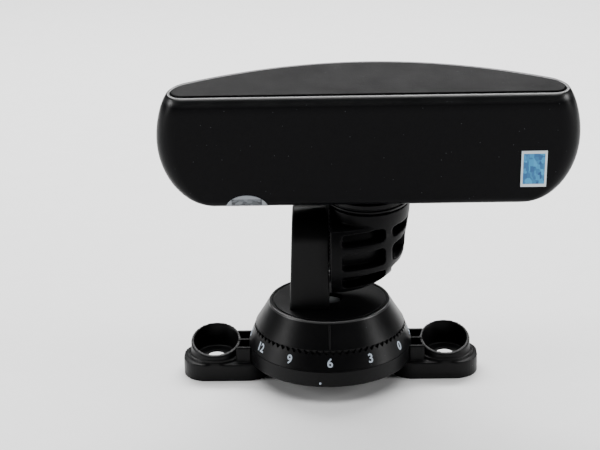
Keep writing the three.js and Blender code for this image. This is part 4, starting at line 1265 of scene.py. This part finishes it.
    def build(self, shop: Workshop) -> None:
        """Makes and places the dial's pieces."""
        shop.place(self.ring(), STAND_ABS, Body.BASE, Slot.MOULDED, "dial_ring")
        shop.place(self.numerals(), DIAL_INK, Body.BASE, Slot.LABEL)
        shop.place(self.skirt(), STAND_ABS, Body.BASE, Slot.MOULDED, "hub_housing")
        shop.place(self.witness_dot(), DIAL_INK, Body.BASE, Slot.LABEL)


@dataclass
class MountingBar:
    """Flat bar with a hollow lobe and a slanted screw cup at each end."""

    height: float = 8.0
    wall: float = 2.0
    lobe_length: float = 39.6
    lobe_depth: float = 25.4
    lobe_corner: float = 11.0
    lobe_x: float = 46.8
    ear_x: float = 51.9
    hole_radius: float = 3.65
    cup_radius: float = 11.3
    cup_bore: float = 9.0
    cup_flare: float = 3.0
    cup_floor: float = 1.0
    cup_rear: float = 10.7
    cup_front: float = 3.4
    step_radius: float = 12.6
    step_height: float = 1.2
    waist_depth: float = 14.0
    foot_radius: float = 19.0
    pad_radius: float = 16.3
    pad_height: float = 2.4
    head_room: float = 7.0
    skirt_radius: float = 36.8
    slot_width: float = 13.0
    slot_height: float = 5.4
    rib_from: float = 32.8
    rib_to: float = 42.4
    rib_thickness: float = 1.8
    rib_spacing: float = 9.0
    rib_top: float = 15.2
    voxel: float = 0.4

    def prism(self, outline: np.ndarray, low: float, high: float) -> bpy.types.Object:
        """Upright prism of an outline."""
        return ring_skin("prism", np.stack([lift(outline, low), lift(outline, high)]))

    def rod(
        self, x: float, radius: float, low: float, high: float, slant: float = 0.0, flare: float = 0.0
    ) -> bpy.types.Object:
        """Upright rod whose top may slant up to the rear, and may be wider than its foot by a flare."""
        angle = np.arange(96) * (2 * math.pi / 96)
        rim = radius + flare
        foot = np.stack([x + radius * np.cos(angle), radius * np.sin(angle)], axis=-1)
        edge = np.stack([x + rim * np.cos(angle), rim * np.sin(angle)], axis=-1)
        top = np.concatenate([edge, (high + slant * edge[:, 1])[:, None]], axis=-1)
        return ring_skin("rod", np.stack([lift(foot, low), top]))

    def end(self, side: int) -> tuple:
        """Solids and hollows of one end of the bar.

        Args:
            side: -1 for the left and 1 for the right.

        Returns:
            List of solids to unite and list of hollows to cut.
        """
        x = side * self.ear_x
        slant = (self.cup_rear - self.cup_front) / (2 * self.cup_radius)
        middle = self.height + (self.cup_rear + self.cup_front) / 2
        lobe = slab_outline(self.lobe_length, self.lobe_depth, self.lobe_corner, (side * self.lobe_x, 0))
        inside = slab_outline(
            self.lobe_length - 2 * self.wall,
            self.lobe_depth - 2 * self.wall,
            self.lobe_corner - self.wall,
            (side * self.lobe_x, 0),
        )
        rib_x = side * (self.rib_from + self.rib_to) / 2
        solids = [
            self.prism(lobe, 0, self.height),
            self.rod(x, self.cup_radius, self.height - self.wall, middle, slant),
            self.rod(x, self.step_radius, self.height - self.wall, self.height + self.step_height),
        ]
        for y in (-self.rib_spacing, 0.0, self.rib_spacing):
            rib = slab_outline(self.rib_to - self.rib_from, self.rib_thickness, 0.2, (rib_x, y), 3)
            solids.append(self.prism(rib, self.height - self.wall, self.rib_top))
        slot = slab_outline(self.slot_width, self.lobe_depth, 0.4, (x, self.lobe_depth / 2), 4)
        hollows = [
            self.prism(inside, -1, self.height - self.cup_floor),
            self.rod(x, self.cup_bore, self.height, self.height + 2 * self.cup_rear, flare=self.cup_flare),
            self.rod(x, self.hole_radius, -1, self.height + 1),
            self.prism(slot, -1, self.slot_height),
        ]
        return solids, hollows

    def build(self, shop: Workshop) -> None:
        """Makes and places the bar."""
        waist = slab_outline(2 * self.ear_x, self.waist_depth, 2.0)
        bar = self.prism(waist, 0, self.height)
        bar = carve(bar, self.rod(0, self.foot_radius, 0, self.height), "UNION")
        ends = [self.end(-1), self.end(1)]
        for solids, _ in ends:
            for solid in solids:
                bar = carve(bar, solid, "UNION")
        for _, hollows in ends:
            for hollow in hollows:
                bar = carve(bar, hollow)
        bar = carve(bar, self.rod(0, self.pad_radius, -1, self.pad_height))
        bar = carve(bar, self.rod(0, self.head_room, -1, self.height + 1))
        bar = carve(bar, self.rod(0, self.skirt_radius, self.height, 60))
        bar.name = "bar_moulding"
        shop.place(moulded(bar, self.voxel, 3), STAND_ABS, Body.BASE, Slot.MOULDED, "mounting_bar")


# ------------------------------------------------------------------ cable inlet and kept CAD nodes


@dataclass
class CableInlet:
    """Threaded socket in the rear wall, with its contact pins."""

    radius: float = 6.0
    flange: float = 8.0
    length: float = 9.0
    wall: float = 1.2
    floor: float = 3.0
    rear_y: float = 21.0
    level: float = 13.0

    def lay(self, rings: np.ndarray) -> np.ndarray:
        """Lays a shape turned about Z along +Y, out of the rear wall."""
        x, y, z = rings[..., 0], rings[..., 1], rings[..., 2]
        return TILT.from_head(np.stack([x, z + self.rear_y, self.level - y], axis=-1))

    def socket(self) -> bpy.types.Object:
        """Flanged tube with a rounded thread on its outer end."""
        thread = []
        for step in np.linspace(3.9, self.length - 0.5, 33):
            thread.append((self.radius - 0.28 + 0.22 * math.cos((step - 3.9) * 2 * math.pi / 1.0), step))
        path = [
            (0.05, -self.length),
            (self.radius, -self.length),
            (self.radius, 1.6),
            (self.flange - 0.3, 1.6),
            (self.flange, 1.9),
        ]
        path += [(self.flange, 3.1), (self.flange - 0.3, 3.4), (self.radius - 0.1, 3.4), *thread]
        path += [(self.radius - 0.6, self.length), (self.radius - self.wall, self.length)]
        path += [(self.radius - self.wall, self.floor), (0.05, self.floor)]
        obj = ring_skin("inlet_socket", self.lay(turned(np.array(path), 96)))
        obj.data.set_sharp_from_angle(angle=math.radians(40))
        return obj

    def pins(self) -> bpy.types.Object:
        """Four contact pins with domed ends, standing in the socket."""
        path = rounded_path([(0.02, 2.4), (0.45, 2.4), (0.45, 7.2, 0.35), (0.02, 7.4)])
        blank = turned(path, 20)
        places = [(1.9 * math.cos(a), 1.9 * math.sin(a)) for a in np.arange(4) * math.pi / 2 + math.pi / 4]
        pieces = [ring_skin("pin", self.lay(blank + np.array([x, y, 0]))) for x, y in places]
        return joined("inlet_pins", pieces)

    def build(self, shop: Workshop) -> None:
        """Makes and places the inlet."""
        shop.place(self.socket(), BLACK_STEEL, Body.HEAD, Slot.STEEL, "cable_socket")
        shop.place(self.pins(), GOLD_PIN, Body.HEAD, Slot.COPPER)


KEPT_NODES = {
    "foot_pad": RUBBER,
    "bearing_washer": NYLON,
    "spring_washer": ZINC_STEEL,
    "flat_washer": ZINC_STEEL,
    "pan_nut": ZINC_STEEL,
    "pan_bolt": ZINC_STEEL,
    "post_screw": ZINC_STEEL,
    "post_tooth_ring": STAND_ABS,
    "tilt_washer": ZINC_STEEL,
    "tilt_screw": BLACK_STEEL,
    "elbow_tooth_ring": STAND_ABS,
    "tilt_nut": ZINC_STEEL,
    "lid_gasket": RUBBER,
    "collar_screw": ZINC_STEEL,
    "main_board": SOLDER_MASK,
    "board_screw": ZINC_STEEL,
    "processor": EPOXY,
    "power_capacitor": TIN,
    "lead_header": NYLON,
    "antenna_board": LAMINATE,
    "antenna_patch": COPPER,
    "shield_can": TIN,
    "socket_seal": RUBBER,
    "socket_nut": ZINC_STEEL,
}


def dress_kept(shop: Workshop, nodes: dict) -> None:
    """Gives each CAD node that stays in view its own finish."""
    for name, node in nodes.items():
        if node.hide_render:
            continue
        finish = next(f for key, f in KEPT_NODES.items() if name.startswith(key))
        shop.dress_node(node, finish)
        LOG.info("%s: kept, %s", name, finish.name)


# ------------------------------------------------------------------ studio


@dataclass
class Studio:
    """Pale floor, softboxes and the camera. Places in metres."""

    target: tuple = (-0.01255, 0.0, 0.06996)
    distance: float = 0.73597
    elevation: float = 20.34
    azimuth: float = -1.333
    roll: float = 1.251
    lens: float = 99.75

    def floor(self) -> None:
        """Large plane of matt white paper with a very faint mottle."""
        points = np.array([(-4e3, -3e3, 0), (4e3, -3e3, 0), (4e3, 5e3, 0), (-4e3, 5e3, 0)], dtype=float)
        floor = make_object("paper_floor", points, [[0, 1, 2, 3]])
        paper = Plastic("matt white paper", "#f4f4f4", "#efefef", 0.9, 0.03, 3.0, 0.01, 0.1)
        floor.data.materials.append(paper.build())

    def softbox(self, name: str, place: tuple, aim: tuple, size: tuple, power: float) -> None:
        """Area light that looks at a point.

        Args:
            name: name of the light.
            place: where it stands.
            aim: the point it looks at.
            size: its width and height.
            power: its power in watts.
        """
        data = bpy.data.lights.new(name, "AREA")
        data.shape = "RECTANGLE"
        data.size, data.size_y = size
        data.energy = power
        lamp = bpy.data.objects.new(name, data)
        lamp.location = place
        lamp.rotation_euler = (Vector(aim) - Vector(place)).to_track_quat("-Z", "Y").to_euler()
        bpy.context.scene.collection.objects.link(lamp)

    def lights(self) -> None:
        """Softboxes above, behind and to the sides, over a dim world."""
        self.softbox("overhead", (0.0, 0.1, 1.5), (0.0, 0.0, 0.05), (2.2, 1.6), 42.0)
        self.softbox("back_high", (0.0, 0.8, 0.95), (0.0, 0.0, 0.1), (1.5, 0.3), 26.0)
        self.softbox("left_side", (-1.0, -0.2, 0.3), (0.0, 0.0, 0.06), (0.3, 0.5), 5.0)
        self.softbox("right_side", (1.0, -0.2, 0.3), (0.0, 0.0, 0.06), (0.3, 0.5), 5.0)
        world = bpy.data.worlds.new("studio")
        world.use_nodes = True
        world.node_tree.nodes["Background"].inputs["Color"].default_value = linear("#c8cacc")
        world.node_tree.nodes["Background"].inputs["Strength"].default_value = 0.06
        bpy.context.scene.world = world

    def camera(self) -> None:
        """Camera on a sphere round its target, turned by a small roll about its own axis."""
        el, az, roll = (math.radians(v) for v in (self.elevation, self.azimuth, self.roll))
        back = Vector((-math.sin(az) * math.cos(el), -math.cos(az) * math.cos(el), math.sin(el)))
        right = (-back).cross(Vector((0, 0, 1))).normalized()
        up = right.cross(-back)
        across = right * math.cos(roll) - up * math.sin(roll)
        upward = right * math.sin(roll) + up * math.cos(roll)
        turn = Matrix((across, upward, back)).transposed()
        data = bpy.data.cameras.new("camera")
        data.lens = self.lens
        data.sensor_width = 36.0
        data.clip_start, data.clip_end = 0.02, 20.0
        camera = bpy.data.objects.new("camera", data)
        camera.matrix_world = Matrix.Translation(Vector(self.target) + back * self.distance) @ turn.to_4x4()
        bpy.context.scene.collection.objects.link(camera)
        bpy.context.scene.camera = camera

    def build(self) -> None:
        """Makes the floor, the lights and the camera."""
        self.floor()
        self.lights()
        self.camera()


def main() -> None:
    """Builds the looks round the CAD frame, logging each piece's face count."""
    logging.basicConfig(level=logging.INFO, format="%(name)s: %(message)s")
    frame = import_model()
    shop = Workshop()
    for assembly in (MountingBar(), DialBase(), Turntable(), Elbow(), AntennaHousing(), CableInlet()):
        LOG.info("building %s", type(assembly).__name__)
        assembly.build(shop)
    dress_kept(shop, frame["nodes"])
    Studio().build()


if __name__ == "__main__":
    main()
